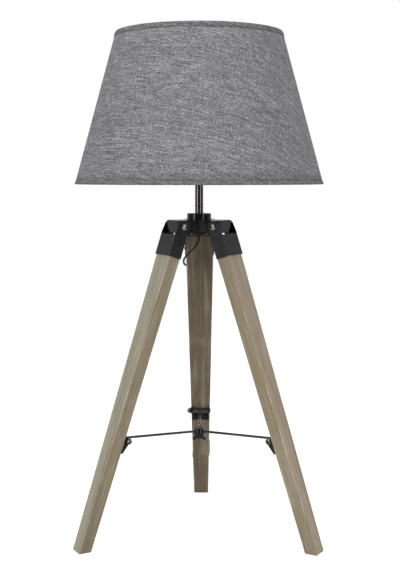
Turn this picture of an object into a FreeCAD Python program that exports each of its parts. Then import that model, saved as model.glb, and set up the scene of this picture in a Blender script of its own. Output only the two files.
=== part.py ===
import FreeCAD, Part
import math
import os
from types import SimpleNamespace

import Sketcher
from FreeCAD import Placement, Rotation, Vector

# Tripod table lamp: three splayed wooden legs hinged at a steel hub, a lamp pipe with a
# screw holder, bulb and drum shade above it, three stays clamped by a bolt and wing nut,
# and a mains lead. Millimetres, +Z up, origin on the floor under the lamp pipe; the
# rear leg stands towards +Y and the front legs at 210 and 330 degrees.

SIZES = {
    # legs
    "pivot_height": 380.0,
    "pivot_radius": 30.39,
    "leg_splay": 18.59,
    "leg_thickness": 15.3,
    "leg_foot_width": 18.8,
    "leg_top_width": 34.0,
    "leg_top_gap": 12.0,
    "leg_edge_radius": 1.3,
    # sleeves, brackets and their screws
    "sheet_metal": 1.2,
    "sleeve_fit": 0.1,
    "sleeve_bottom": 37.9,
    "sleeve_web_top": 12.0,
    "sleeve_bend_radius": 1.0,
    "ear_radius": 7.5,
    "wood_screw_diameter": 2.5,
    "wood_screw_length": 10.0,
    "dome_head_diameter": 4.6,
    "dome_head_height": 1.3,
    "sleeve_screw_high": 16.3,
    "sleeve_screw_low": 32.8,
    "sleeve_screw_offset": 2.9,
    "bracket_width": 22.0,
    "bracket_length": 20.0,
    "bracket_foot_depth": 2.4,
    "bracket_screw_spacing": 11.0,
    "stay_pin_drop": 261.8,
    "stay_pin_offset": 4.3,
    "pin_lobe_radius": 3.8,
    # hub and pivots
    "arm_height": 15.0,
    "arm_overhang": 6.2,
    "arm_corner_radius": 4.5,
    "running_gap": 0.3,
    "pivot_screw_diameter": 4.0,
    "pan_head_diameter": 7.4,
    "pan_head_height": 2.4,
    "small_nut_flats": 7.0,
    "small_nut_height": 3.2,
    "boss_diameter": 22.0,
    "boss_drop": 3.2,
    "boss_edge": 1.2,
    "collar_diameter": 29.2,
    "collar_height": 7.8,
    "collar_edge": 0.8,
    # lamp pipe and cord bush
    "pipe_diameter": 10.0,
    "pipe_bore": 8.0,
    "pipe_exposed": 40.7,
    "pipe_grip": 11.0,
    "pipe_nut_flats": 14.0,
    "pipe_nut_height": 4.0,
    "nut_recess_diameter": 17.5,
    "bush_flange_diameter": 13.0,
    "bush_flange_height": 1.6,
    "bush_plug_length": 5.0,
    # stays and their clamp
    "stay_rod_diameter": 3.0,
    "stay_barrel_diameter": 6.6,
    "stay_rod_lift": 1.6,
    "stay_end_gap": 0.5,
    "clamp_fall": 2.15,
    "clamp_bolt_diameter": 4.0,
    "cup_washer_diameter": 13.4,
    "cup_washer_top_diameter": 11.0,
    "cup_washer_height": 4.4,
    "flat_washer_height": 3.0,
    "wing_nut_diameter": 8.0,
    "wing_nut_height": 4.2,
    "wing_reach": 8.5,
    "wing_drop": 6.6,
    "wing_thickness": 1.6,
    # lamp holder and bulb
    "holder_diameter": 38.0,
    "holder_wall": 2.0,
    "holder_cap_height": 16.0,
    "holder_body_height": 42.0,
    "holder_flange_diameter": 47.0,
    "holder_flange_rise": 5.0,
    "holder_flange_height": 2.5,
    "insert_height": 9.0,
    "screw_shell_diameter": 28.2,
    "screw_shell_wall": 0.5,
    "screw_shell_height": 27.0,
    "bulb_cap_diameter": 26.4,
    "bulb_cap_height": 24.0,
    "bulb_diameter": 60.0,
    "bulb_height": 86.0,
    "bulb_neck_diameter": 28.0,
    "glass_wall": 1.0,
    # shade
    "shade_drop": 29.3,
    "shade_height": 179.5,
    "shade_bottom_diameter": 300.0,
    "shade_top_diameter": 200.0,
    "shade_cover_wall": 0.8,
    "shade_liner_wall": 0.5,
    "hem_wall": 0.6,
    "top_hem_height": 6.0,
    "bottom_hem_height": 4.0,
    "shade_wire_diameter": 3.0,
    "shade_fitting_diameter": 56.0,
    "shade_fitting_wall": 1.2,
    "shade_ring_diameter": 52.0,
    "shade_ring_height": 7.7,
    # lead, switch and plug
    "cord_diameter": 2.5,
    "switch_length": 54.0,
    "switch_width": 26.0,
    "switch_depth": 16.0,
    "switch_wall": 1.6,
    "switch_edge": 3.0,
    "rocker_length": 18.0,
    "rocker_width": 10.0,
    "rocker_gap": 0.45,
    "plug_length": 36.0,
    "plug_width": 35.3,
    "plug_depth": 13.7,
    "plug_tail_width": 13.3,
    "plug_relief_length": 16.0,
    "plug_pin_diameter": 4.0,
    "plug_pin_length": 19.0,
    "plug_pin_spacing": 18.6,
    "hank_run": 50.0,
    "hank_waist": 0.9,
    "hank_layer": 3.0,
    "tie_width": 8.0,
    "tie_wall": 0.8,
}
LEGS = {"left": 210.0, "right": 330.0, "rear": 90.0}
# The pan head of each pivot screw faces the front: +1 is the counter-clockwise side.
HEAD_SIDE = {"left": 1, "right": -1, "rear": -1}

doc = FreeCAD.newDocument("TripodTableLamp")
sheet = doc.addObject("Spreadsheet::Sheet", "Sizes")
for row, (alias, number) in enumerate(SIZES.items(), start=1):
    sheet.set(f"A{row}", alias)
    sheet.set(f"B{row}", str(number))
    sheet.setAlias(f"B{row}", alias)
doc.recompute()
size = SimpleNamespace(**{alias: float(sheet.get(alias)) for alias in SIZES})
nodes = {}

X_AXIS = Vector(1, 0, 0)
Y_AXIS = Vector(0, 1, 0)
Z_AXIS = Vector(0, 0, 1)
ALONG_Y = Rotation(X_AXIS, -90)  # turns a piece built along Z to lie along +Y
splay = math.radians(size.leg_splay)
foot_radius = size.pivot_radius + size.pivot_height * math.tan(splay)
half_thickness = size.leg_thickness / 2
sleeve_inside = size.leg_top_width + 2 * size.sleeve_fit
sleeve_outside = sleeve_inside + 2 * size.sheet_metal
hub_bottom = size.pivot_height - size.arm_height / 2
hub_top = size.pivot_height + size.arm_height / 2
boss_bottom = hub_bottom - size.boss_drop
holder_base = hub_top + size.collar_height + size.pipe_exposed
holder_joint = holder_base + size.holder_cap_height
shade_seat = (
    holder_joint + size.holder_flange_rise + size.holder_flange_height + size.running_gap
)
shade_low = shade_seat - size.shade_drop
cord_radius = size.cord_diameter / 2

# The same heights as expressions over the sheet, for the pieces bound to it.
HOLDER_BASE = (
    "(Sizes.pivot_height + Sizes.arm_height / 2 + Sizes.collar_height + Sizes.pipe_exposed)"
)
HOLDER_JOINT = f"({HOLDER_BASE} + Sizes.holder_cap_height)"
SHADE_SEAT = (
    f"({HOLDER_JOINT} + Sizes.holder_flange_rise"
    " + Sizes.holder_flange_height + Sizes.running_gap)"
)
SHADE_LOW = f"({SHADE_SEAT} - Sizes.shade_drop)"


# ---------------------------------------------------------------- building helpers


def keep(name, piece):
    """Names a finished piece; its label is also its file's name."""
    piece.Label = name
    nodes[name] = piece
    return piece


def at(x=0.0, y=0.0, z=0.0, turn=None):
    return Placement(Vector(x, y, z), turn or Rotation())


def new_body(name, place=None):
    body = doc.addObject("PartDesign::Body", name)
    body.Placement = place or Placement()
    return body


def new_sketch(body, role, offset=None):
    """An empty sketch on one of the body's origin planes, moved along its normal."""
    plane = next(f for f in body.Origin.OriginFeatures if f.Role == role)
    sketch = body.newObject("Sketcher::SketchObject", "Sketch")
    sketch.AttachmentSupport = [(plane, "")]
    sketch.MapMode = "FlatFace"
    if offset:
        sketch.setExpression("AttachmentOffset.Base.z", offset)
    return sketch


def pin_point(sketch, edge, point, x, y):
    """Binds one point of the sketch to two expressions over the sheet."""
    for kind, expression in (("DistanceX", x), ("DistanceY", y)):
        index = sketch.addConstraint(
            Sketcher.Constraint(kind, -1, 1, edge, point, 1.0)
        )
        sketch.setExpression(f"Constraints[{index}]", expression)


def draw_outline(body, role, corners, offset=None):
    """A closed outline of straight lines through corners given as expressions."""
    sketch = new_sketch(body, role, offset)
    count = len(corners)
    start = [
        Vector(9 * math.cos(2 * math.pi * k / count), 9 * math.sin(2 * math.pi * k / count), 0)
        for k in range(count)
    ]
    for k in range(count):
        sketch.addGeometry(Part.LineSegment(start[k], start[(k + 1) % count]))
    for k in range(count):
        sketch.addConstraint(Sketcher.Constraint("Coincident", k, 2, (k + 1) % count, 1))
    for k, (x, y) in enumerate(corners):
        pin_point(sketch, k, 1, x, y)
    return sketch


def draw_circles(body, role, centres, diameter, offset=None):
    sketch = new_sketch(body, role, offset)
    for k, (x, y) in enumerate(centres):
        sketch.addGeometry(Part.Circle(Vector(20 * k, 0, 0), Z_AXIS, 1.0))
        index = sketch.addConstraint(Sketcher.Constraint("Diameter", k, 2.0))
        sketch.setExpression(f"Constraints[{index}]", diameter)
        pin_point(sketch, k, 3, x, y)
    return sketch


def rectangle(x0, x1, y0, y1):
    return [(x0, y0), (x1, y0), (x1, y1), (x0, y1)]


def grow(body, kind, sketch, length, side="Symmetric", reverse=False):
    """A Pad or Pocket of the sketch, checked to have changed the body's volume."""
    before = body.Shape.Volume if body.Shape.Solids else 0.0
    feature = body.newObject(f"PartDesign::{kind}", kind)
    feature.Profile = sketch
    feature.SideType = side
    feature.Reversed = reverse
    feature.setExpression("Length", length)
    doc.recompute()
    if abs(body.Shape.Volume - before) < 1e-6:
        raise RuntimeError(f"{body.Label}: {kind} changes nothing")
    return feature


def turned(name, corners):
    """A body turned about Z from an outline of (radius, height) expressions."""
    body = new_body(name)
    sketch = draw_outline(body, "XZ_Plane", corners)
    feature = body.newObject("PartDesign::Revolution", "Revolution")
    feature.Profile = sketch
    feature.ReferenceAxis = (sketch, ["V_Axis"])
    feature.Angle = 360.0
    doc.recompute()
    return body


def cylinder(name, radius, height, place=None):
    piece = doc.addObject("Part::Cylinder", name)
    piece.setExpression("Radius", radius)
    piece.setExpression("Height", height)
    piece.Placement = place or Placement()
    return piece


def block(name, length, width, height, place):
    piece = doc.addObject("Part::Box", name)
    for side, expression in (("Length", length), ("Width", width), ("Height", height)):
        piece.setExpression(side, expression)
    piece.Placement = place
    return piece


def fused(name, pieces):
    result = doc.addObject("Part::MultiFuse", name)
    result.Shapes = pieces
    return result


def cut(name, base, tools):
    result = doc.addObject("Part::Cut", name)
    result.Base = base
    result.Tool = tools[0] if len(tools) == 1 else fused(f"{name}_tools", tools)
    return result


def made(name, solids):
    """A piece, or a group of like pieces, whose solids are built directly."""
    piece = doc.addObject("Part::Feature", name)
    piece.Shape = solids[0] if len(solids) == 1 else Part.makeCompound(solids)
    return keep(name, piece)


def lathe(start, steps):
    """A solid turned about Z: each step is a (radius, height) point, or a pair of them
    for an arc through the first to the second."""
    edges = []
    here = start
    for step in steps + [start]:
        points = [step] if isinstance(step[0], (int, float)) else list(step)
        corners = [Vector(r, 0, z) for r, z in [here] + points]
        edges.append(
            Part.Arc(*corners).toShape() if len(corners) == 3 else Part.makeLine(*corners)
        )
        here = points[-1]
    return Part.Face(Part.Wire(edges)).revolve(Vector(), Z_AXIS, 360)


def hex_prism(flats, height):
    corner = flats / 2 / math.cos(math.pi / 6)
    points = [
        Vector(corner * math.cos(k * math.pi / 3), corner * math.sin(k * math.pi / 3), 0)
        for k in range(7)
    ]
    return Part.Face(Part.makePolygon(points)).extrude(Vector(0, 0, height))


def moved(shape, place):
    result = shape.copy()
    result.Placement = place.multiply(result.Placement)
    return result


# ---------------------------------------------------------------- fasteners


def pan_screw(shank, length, head, height):
    """Shank along +Z from the underside of its cross-recessed head at z = 0."""
    rise = height * 0.55
    body = lathe(
        (0, -height),
        [((head * 0.28, -height * 0.93), (head / 2, -rise)), (head / 2, 0), (shank / 2, 0)]
        + [(shank / 2, length), (0, length)],
    )
    slot = Part.makeBox(head * 0.6, head * 0.13, height, Vector(-head * 0.3, -head * 0.065, -height * 1.5))
    cross = slot.fuse(moved(slot, at(turn=Rotation(Z_AXIS, 90))))
    return body.cut(cross)


def dome_screw(shank, length, head, height):
    return lathe(
        (0, -height),
        [((head * 0.33, -height * 0.72), (head / 2, 0)), (shank / 2, 0), (shank / 2, length)]
        + [(0, length)],
    )


def plain_nut(flats, height, bore):
    nut = hex_prism(flats, height)
    return nut.cut(Part.makeCylinder(bore / 2, 3 * height, Vector(0, 0, -height)))


def acorn_nut(flats, height, bore):
    """Hexagon from z = 0 with a blind bore and a domed end."""
    ball = flats / 2 * 0.96
    dome = lathe(
        (0, height),
        [(ball, height), ((ball * 0.72, height + ball * 0.78), (0, height + ball * 1.08))],
    )
    thread = Part.makeCylinder(bore / 2, height * 1.5, Vector(0, 0, 0))
    return hex_prism(flats, height).fuse(dome).cut(thread).removeSplitter()


# ---------------------------------------------------------------- legs


def radial_frame(angle):
    """X outwards along the leg's direction on the floor, Z up."""
    return at(turn=Rotation(Z_AXIS, angle))


def leg_frame(angle):
    """Origin on the leg's pivot, Z up along the leg, X out of its outer face."""
    tilt = Rotation(Y_AXIS, -size.leg_splay)
    pivot = at(size.pivot_radius, 0, size.pivot_height, tilt)
    return radial_frame(angle).multiply(pivot)


FLOOR_LINE = "(-(Sizes.pivot_height + ({x}) * sin(Sizes.leg_splay)) / cos(Sizes.leg_splay))"
BLANK_END = "(-(Sizes.pivot_height / cos(Sizes.leg_splay) + Sizes.leg_thickness))"
BLANK_BELOW = f"({BLANK_END} - 3 * Sizes.leg_thickness)"
SCREW_SPOTS = [
    ("Sizes.sleeve_screw_offset", "-Sizes.sleeve_screw_high"),
    ("Sizes.sleeve_screw_offset", "-Sizes.sleeve_screw_low"),
]
PIN_X = "(-(Sizes.leg_thickness / 2 + Sizes.stay_pin_offset))"
PIN_Z = "(-Sizes.stay_pin_drop)"
PIN_HEIGHT = (
    f"(Sizes.pivot_height + {PIN_X} * sin(Sizes.leg_splay) + {PIN_Z} * cos(Sizes.leg_splay))"
)
CLAMP_HEIGHT = f"({PIN_HEIGHT} - Sizes.clamp_fall)"
BRACKET_TOP = f"({PIN_Z} + Sizes.pin_lobe_radius)"
BRACKET_END = f"({BRACKET_TOP} - Sizes.bracket_length)"
PLATE_TOP = f"({PIN_Z} - Sizes.stay_barrel_diameter / 2 - 2 * Sizes.running_gap)"
PLATE_MIDDLE = f"(({PLATE_TOP} + {BRACKET_END}) / 2)"
BRACKET_SPOTS = [
    ("-Sizes.bracket_screw_spacing / 2", PLATE_MIDDLE),
    ("Sizes.bracket_screw_spacing / 2", PLATE_MIDDLE),
]


def build_leg(side, frame):
    """Tapered wooden leg, its foot cut level with the floor and its edges eased."""
    body = new_body(f"leg_{side}", frame)
    foot = "Sizes.leg_foot_width / 2"
    top = "Sizes.leg_top_width / 2"
    face = draw_outline(
        body,
        "YZ_Plane",
        [
            (f"-{foot}", BLANK_END),
            (foot, BLANK_END),
            (top, "-Sizes.sleeve_bottom"),
            (top, "-Sizes.leg_top_gap"),
            (f"-{top}", "-Sizes.leg_top_gap"),
            (f"-{top}", "-Sizes.sleeve_bottom"),
        ],
    )
    grow(body, "Pad", face, "Sizes.leg_thickness")
    wide = "2 * Sizes.leg_thickness"
    floor = draw_outline(
        body,
        "XZ_Plane",
        [
            (f"-{wide}", FLOOR_LINE.format(x=f"-{wide}")),
            (wide, FLOOR_LINE.format(x=wide)),
            (wide, BLANK_BELOW),
            (f"-{wide}", BLANK_BELOW),
        ],
    )
    grow(body, "Pocket", floor, "4 * Sizes.leg_top_width")
    level = body.Tip
    ease = body.newObject("PartDesign::Fillet", "EasedEdges")
    eased = [
        f"Edge{k}"
        for k, edge in enumerate(level.Shape.Edges, start=1)
        if edge.Length > size.leg_top_width * 2
        or edge.CenterOfMass.z < -size.pivot_height / math.cos(splay) + half_thickness
    ]
    ease.Base = (level, eased)
    ease.setExpression("Radius", "Sizes.leg_edge_radius")
    pilots = draw_circles(body, "XZ_Plane", SCREW_SPOTS, "Sizes.wood_screw_diameter")
    grow(body, "Pocket", pilots, "2 * Sizes.leg_top_width")
    pilots = draw_circles(body, "YZ_Plane", BRACKET_SPOTS, "Sizes.wood_screw_diameter")
    grow(body, "Pocket", pilots, "Sizes.leg_thickness", side="One side")
    return keep(f"leg_{side}", body)


def build_sleeve(side, frame):
    """U-shaped steel sleeve: a web on the leg's outer face and two eared flanges."""
    body = new_body(f"sleeve_{side}", frame)
    inner = "(Sizes.leg_thickness / 2)"
    web = "(Sizes.leg_thickness / 2 + Sizes.sleeve_fit)"
    outer = f"({web} + Sizes.sheet_metal)"
    reach = f"sqrt({outer} ^ 2 + Sizes.sleeve_web_top ^ 2)"
    touch = f"(acos(Sizes.ear_radius / {reach}) - atan(Sizes.sleeve_web_top / {outer}))"
    flange = draw_outline(
        body,
        "XZ_Plane",
        [
            (f"-{inner}", "-Sizes.sleeve_bottom"),
            (outer, "-Sizes.sleeve_bottom"),
            (outer, "-Sizes.sleeve_web_top"),
            (f"Sizes.ear_radius * cos{touch}", f"Sizes.ear_radius * sin{touch}"),
            ("-Sizes.ear_radius", "0"),
        ],
    )
    inside = "(Sizes.leg_top_width + 2 * Sizes.sleeve_fit)"
    outside = f"{inside} + 2 * Sizes.sheet_metal"
    grow(body, "Pad", flange, outside)
    ear = draw_circles(body, "XZ_Plane", [("0", "0")], "2 * Sizes.ear_radius")
    grow(body, "Pad", ear, outside)
    low = "-2 * Sizes.sleeve_bottom"
    high = "2 * Sizes.ear_radius"
    channel = draw_outline(
        body, "XZ_Plane", rectangle("-Sizes.leg_thickness", web, low, high)
    )
    grow(body, "Pocket", channel, inside)
    gap = draw_outline(
        body,
        "XZ_Plane",
        rectangle("0", "Sizes.leg_thickness", "-Sizes.sleeve_web_top", high),
    )
    grow(body, "Pocket", gap, inside)
    channelled = body.Tip
    bends = [
        f"Edge{k}"
        for k, edge in enumerate(channelled.Shape.Edges, start=1)
        if edge.BoundBox.ZLength > size.sleeve_web_top
        and abs(edge.CenterOfMass.x) > half_thickness + size.sheet_metal
        and abs(edge.CenterOfMass.y) > sleeve_outside / 2 - 0.01
    ]
    bent = body.newObject("PartDesign::Fillet", "Bends")
    bent.Base = (channelled, bends)
    bent.setExpression("Radius", "Sizes.sleeve_bend_radius")
    hole = "Sizes.pivot_screw_diameter + 2 * Sizes.running_gap"
    pivot = draw_circles(body, "XZ_Plane", [("0", "0")], hole)
    grow(body, "Pocket", pivot, f"2 * {inside}")
    holes = draw_circles(body, "XZ_Plane", SCREW_SPOTS, "Sizes.wood_screw_diameter")
    grow(body, "Pocket", holes, f"2 * {inside}")
    return keep(f"sleeve_{side}", body)


def build_bracket(side, frame):
    """Two-eared bracket on the leg's inner face that holds the stay's bolt."""
    body = new_body(f"bracket_{side}", frame)
    face = "(-Sizes.leg_thickness / 2)"
    plate = f"({face} - Sizes.sheet_metal)"
    width = "Sizes.bracket_width"
    inside = "(Sizes.bracket_width - 2 * Sizes.sheet_metal)"
    ear = draw_outline(
        body,
        "XZ_Plane",
        [
            (face, BRACKET_END),
            (f"{face} - Sizes.bracket_foot_depth", BRACKET_END),
            (f"{PIN_X} - Sizes.pin_lobe_radius", PIN_Z),
            (PIN_X, BRACKET_TOP),
            (face, BRACKET_TOP),
        ],
    )
    grow(body, "Pad", ear, width)
    lobe = draw_circles(body, "XZ_Plane", [(PIN_X, PIN_Z)], "2 * Sizes.pin_lobe_radius")
    grow(body, "Pad", lobe, width)
    far = f"({PIN_X} - 2 * Sizes.pin_lobe_radius)"
    below = f"({BRACKET_END} - Sizes.sheet_metal)"
    above = f"({BRACKET_TOP} + Sizes.sheet_metal)"
    channel = draw_outline(body, "XZ_Plane", rectangle(far, plate, below, above))
    grow(body, "Pocket", channel, inside)
    window = draw_outline(
        body, "XZ_Plane", rectangle(far, "(Sizes.sheet_metal)", PLATE_TOP, above)
    )
    grow(body, "Pocket", window, inside)
    hole = draw_circles(body, "XZ_Plane", [(PIN_X, PIN_Z)], "Sizes.clamp_bolt_diameter")
    grow(body, "Pocket", hole, f"2 * {width}")
    holes = draw_circles(body, "YZ_Plane", BRACKET_SPOTS, "Sizes.wood_screw_diameter")
    grow(body, "Pocket", holes, "2 * Sizes.leg_thickness", side="One side")
    return keep(f"bracket_{side}", body)


def build_leg_fasteners(side, frame):
    """Dome screws of the sleeve and the bracket, the stay's bolt and its acorn nut."""
    dome = dome_screw(
        size.wood_screw_diameter,
        size.wood_screw_length,
        size.dome_head_diameter,
        size.dome_head_height,
    )
    into_leg = []
    for height in (size.sleeve_screw_high, size.sleeve_screw_low):
        for way in (1, -1):
            turn = Rotation(X_AXIS, 90 * way)
            spot = at(size.sleeve_screw_offset, way * sleeve_outside / 2, -height, turn)
            into_leg.append(moved(dome, frame.multiply(spot)))
    made(f"sleeve_screws_{side}", into_leg)

    plate_top = -size.stay_pin_drop - size.stay_barrel_diameter / 2 - 2 * size.running_gap
    bracket_end = size.pin_lobe_radius - size.stay_pin_drop - size.bracket_length
    plate_middle = (plate_top + bracket_end) / 2
    short_dome = dome_screw(
        size.wood_screw_diameter,
        size.leg_thickness / 2,
        size.dome_head_diameter,
        size.dome_head_height,
    )
    into_face = []
    for way in (1, -1):
        spot = at(
            -half_thickness - size.sheet_metal,
            way * size.bracket_screw_spacing / 2,
            plate_middle,
            Rotation(Y_AXIS, 90),
        )
        into_face.append(moved(short_dome, frame.multiply(spot)))
    made(f"bracket_screws_{side}", into_face)

    pin_x = -half_thickness - size.stay_pin_offset
    head = at(pin_x, -size.bracket_width / 2, -size.stay_pin_drop, ALONG_Y)
    bolt = pan_screw(
        size.clamp_bolt_diameter,
        size.bracket_width + size.small_nut_height,
        size.pan_head_diameter,
        size.pan_head_height,
    )
    made(f"stay_bolt_{side}", [moved(bolt, frame.multiply(head))])
    nut_seat = at(pin_x, size.bracket_width / 2, -size.stay_pin_drop, ALONG_Y)
    nut = acorn_nut(size.small_nut_flats, size.small_nut_height, size.clamp_bolt_diameter)
    made(f"stay_nut_{side}", [moved(nut, frame.multiply(nut_seat))])


def stay_pin():
    """The stay bolt's place in the leg's upright plane: its radius and height."""
    x = -half_thickness - size.stay_pin_offset
    z = -size.stay_pin_drop
    return (
        size.pivot_radius + x * math.cos(splay) - z * math.sin(splay),
        size.pivot_height + x * math.sin(splay) + z * math.cos(splay),
    )


def build_stay(side, angle):
    """Round rod with a cross barrel for the bracket's bolt at its outer end."""
    radius, height = stay_pin()
    inside = "(Sizes.bracket_width - 2 * Sizes.sheet_metal - 2 * Sizes.running_gap)"
    half_barrel = size.bracket_width / 2 - size.sheet_metal - size.running_gap
    radial = radial_frame(angle)
    across = radial.multiply(at(radius, -half_barrel, height, ALONG_Y))
    barrel = cylinder(f"barrel_{side}", "Sizes.stay_barrel_diameter / 2", inside, across)
    end_radius = size.cup_washer_diameter / 2 + size.stay_end_gap
    run = Vector(end_radius - radius, 0, -size.clamp_fall - size.stay_rod_lift)
    start = at(radius, 0, height + size.stay_rod_lift, Rotation(Z_AXIS, run))
    rod = cylinder(f"rod_{side}", "Sizes.stay_rod_diameter / 2", f"{run.Length}", radial.multiply(start))
    bore = cylinder(
        f"bore_{side}",
        "Sizes.clamp_bolt_diameter / 2 + Sizes.running_gap / 2",
        "2 * Sizes.bracket_width",
        radial.multiply(at(radius, -size.bracket_width, height, ALONG_Y)),
    )
    whole = fused(f"stay_blank_{side}", [barrel, rod])
    return keep(f"stay_{side}", cut(f"stay_{side}", whole, [bore]))


def build_legs():
    for side, angle in LEGS.items():
        frame = leg_frame(angle)
        build_leg(side, frame)
        build_sleeve(side, frame)
        build_bracket(side, frame)
        build_leg_fasteners(side, frame)
        build_stay(side, angle)


# ---------------------------------------------------------------- hub


def build_hub():
    """Three rounded arms round a boss, bored for the pipe and the pivot screws."""
    arms = []
    bores = []
    long = size.pivot_radius + size.arm_overhang
    for side, angle in LEGS.items():
        arm = new_body(f"arm_{side}", radial_frame(angle).multiply(at(z=size.pivot_height)))
        half = "(Sizes.leg_top_width / 2 + Sizes.sleeve_fit - Sizes.running_gap)"
        outline = draw_outline(arm, "XY_Plane", rectangle("0", f"{long}", f"-{half}", half))
        pad = grow(arm, "Pad", outline, "Sizes.arm_height")
        upright = [
            f"Edge{k}"
            for k, edge in enumerate(pad.Shape.Edges, start=1)
            if abs(edge.BoundBox.ZLength - size.arm_height) < 0.01 and edge.BoundBox.XMin > 1
        ]
        corner = arm.newObject("PartDesign::Fillet", "Corners")
        corner.Base = (pad, upright)
        corner.setExpression("Radius", "Sizes.arm_corner_radius")
        arms.append(arm)
        across = at(size.pivot_radius, -size.leg_top_width, size.pivot_height, ALONG_Y)
        bores.append(
            cylinder(
                f"pivot_bore_{side}",
                "Sizes.pivot_screw_diameter / 2",
                "2 * Sizes.leg_top_width",
                radial_frame(angle).multiply(across),
            )
        )
    low = "(Sizes.pivot_height - Sizes.arm_height / 2 - Sizes.boss_drop)"
    high = "(Sizes.pivot_height + Sizes.arm_height / 2)"
    radius = "Sizes.boss_diameter / 2"
    boss = turned(
        "boss",
        [
            ("0", low),
            (f"{radius} - Sizes.boss_edge", low),
            (radius, f"{low} + Sizes.boss_edge"),
            (radius, high),
            ("0", high),
        ],
    )
    bores.append(
        cylinder(
            "pipe_bore",
            "Sizes.pipe_diameter / 2",
            "4 * Sizes.arm_height",
            at(z=hub_bottom - size.arm_height),
        )
    )
    bores.append(
        cylinder(
            "nut_recess",
            "Sizes.nut_recess_diameter / 2",
            "Sizes.boss_drop + Sizes.pipe_nut_height",
            at(z=boss_bottom),
        )
    )
    keep("hub_casting", cut("hub_casting", fused("hub_blank", arms + [boss]), bores))


def build_collar():
    low = "(Sizes.pivot_height + Sizes.arm_height / 2)"
    high = f"({low} + Sizes.collar_height)"
    bore = "Sizes.pipe_diameter / 2"
    outer = "(Sizes.collar_diameter / 2)"
    corners = [
        (bore, low),
        (outer, low),
        (outer, f"{high} - Sizes.collar_edge"),
        (f"{outer} - Sizes.collar_edge", high),
        (bore, high),
    ]
    keep("hub_collar", turned("hub_collar", corners))


def build_pivot_hardware():
    """Pivot screws with their heads to the front, and their nuts."""
    head_seat = sleeve_outside / 2 + size.running_gap
    screw = pan_screw(
        size.pivot_screw_diameter,
        2 * head_seat + size.small_nut_height,
        size.pan_head_diameter,
        size.pan_head_height,
    )
    nut = plain_nut(size.small_nut_flats, size.small_nut_height, size.pivot_screw_diameter)
    screws = []
    nuts = []
    for side, angle in LEGS.items():
        way = HEAD_SIDE[side]
        turn = Rotation(X_AXIS, 90 * way)
        pivot = radial_frame(angle).multiply(at(size.pivot_radius, 0, size.pivot_height, turn))
        screws.append(moved(screw, pivot.multiply(at(z=-head_seat))))
        nuts.append(moved(nut, pivot.multiply(at(z=head_seat))))
    made("pivot_screws", screws)
    made("pivot_nuts", nuts)


def build_pipe():
    low = boss_bottom + size.bush_flange_height / 2
    foot = "(Sizes.pivot_height - Sizes.arm_height / 2 - Sizes.boss_drop)"
    long = f"({HOLDER_BASE} + Sizes.pipe_grip - {foot} - Sizes.bush_flange_height / 2)"
    tube = cylinder("pipe_tube", "Sizes.pipe_diameter / 2", long, at(z=low))
    bore = cylinder("pipe_hollow", "Sizes.pipe_bore / 2", f"2 * {long}", at(z=low - size.pipe_bore))
    keep("lamp_pipe", cut("lamp_pipe", tube, [bore]))

    nut = plain_nut(size.pipe_nut_flats, size.pipe_nut_height, size.pipe_diameter)
    made("pipe_nut", [moved(nut, at(z=hub_bottom))])

    lead_bore = cord_radius
    flange_low = low - size.bush_flange_height
    bush = lathe(
        (lead_bore, flange_low),
        [
            (size.bush_flange_diameter / 2, flange_low),
            (size.bush_flange_diameter / 2, low),
            (size.pipe_bore / 2, low),
            (size.pipe_bore / 2, low + size.bush_plug_length),
            (lead_bore, low + size.bush_plug_length),
        ],
    )
    made("cord_bush", [bush])
    lead = Part.makeCylinder(cord_radius, holder_joint - flange_low, Vector(0, 0, flange_low))
    made("inner_lead", [lead])
    return flange_low


# ---------------------------------------------------------------- clamp and wing nut


def build_clamp():
    """Bolt, dome nut and washers that hold the stays' ends, with the wing nut below."""
    middle = stay_pin()[1] - size.clamp_fall - size.stay_rod_diameter / 2
    bolt_radius = size.clamp_bolt_diameter / 2
    cup_top = middle + size.cup_washer_height
    cup = lathe(
        (bolt_radius, middle),
        [
            (size.cup_washer_diameter / 2, middle),
            (size.cup_washer_top_diameter / 2, cup_top),
            (bolt_radius, cup_top),
        ],
    )
    washer_low = middle - size.flat_washer_height
    washer = Part.makeCylinder(
        size.cup_washer_diameter / 2, size.flat_washer_height, Vector(0, 0, washer_low)
    ).cut(Part.makeCylinder(bolt_radius, 3 * size.flat_washer_height, Vector(0, 0, washer_low - 3)))
    made("clamp_washers", [cup, washer])

    dome = acorn_nut(size.small_nut_flats, size.small_nut_height, size.clamp_bolt_diameter)
    made("clamp_dome_nut", [moved(dome, at(z=cup_top))])
    bolt_low = washer_low - size.wing_nut_height - size.small_nut_height
    bolt_high = cup_top + size.small_nut_height
    stud = Part.makeCylinder(bolt_radius, bolt_high - bolt_low, Vector(0, 0, bolt_low))
    made("clamp_bolt", [stud])
    build_wing_nut()


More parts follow.
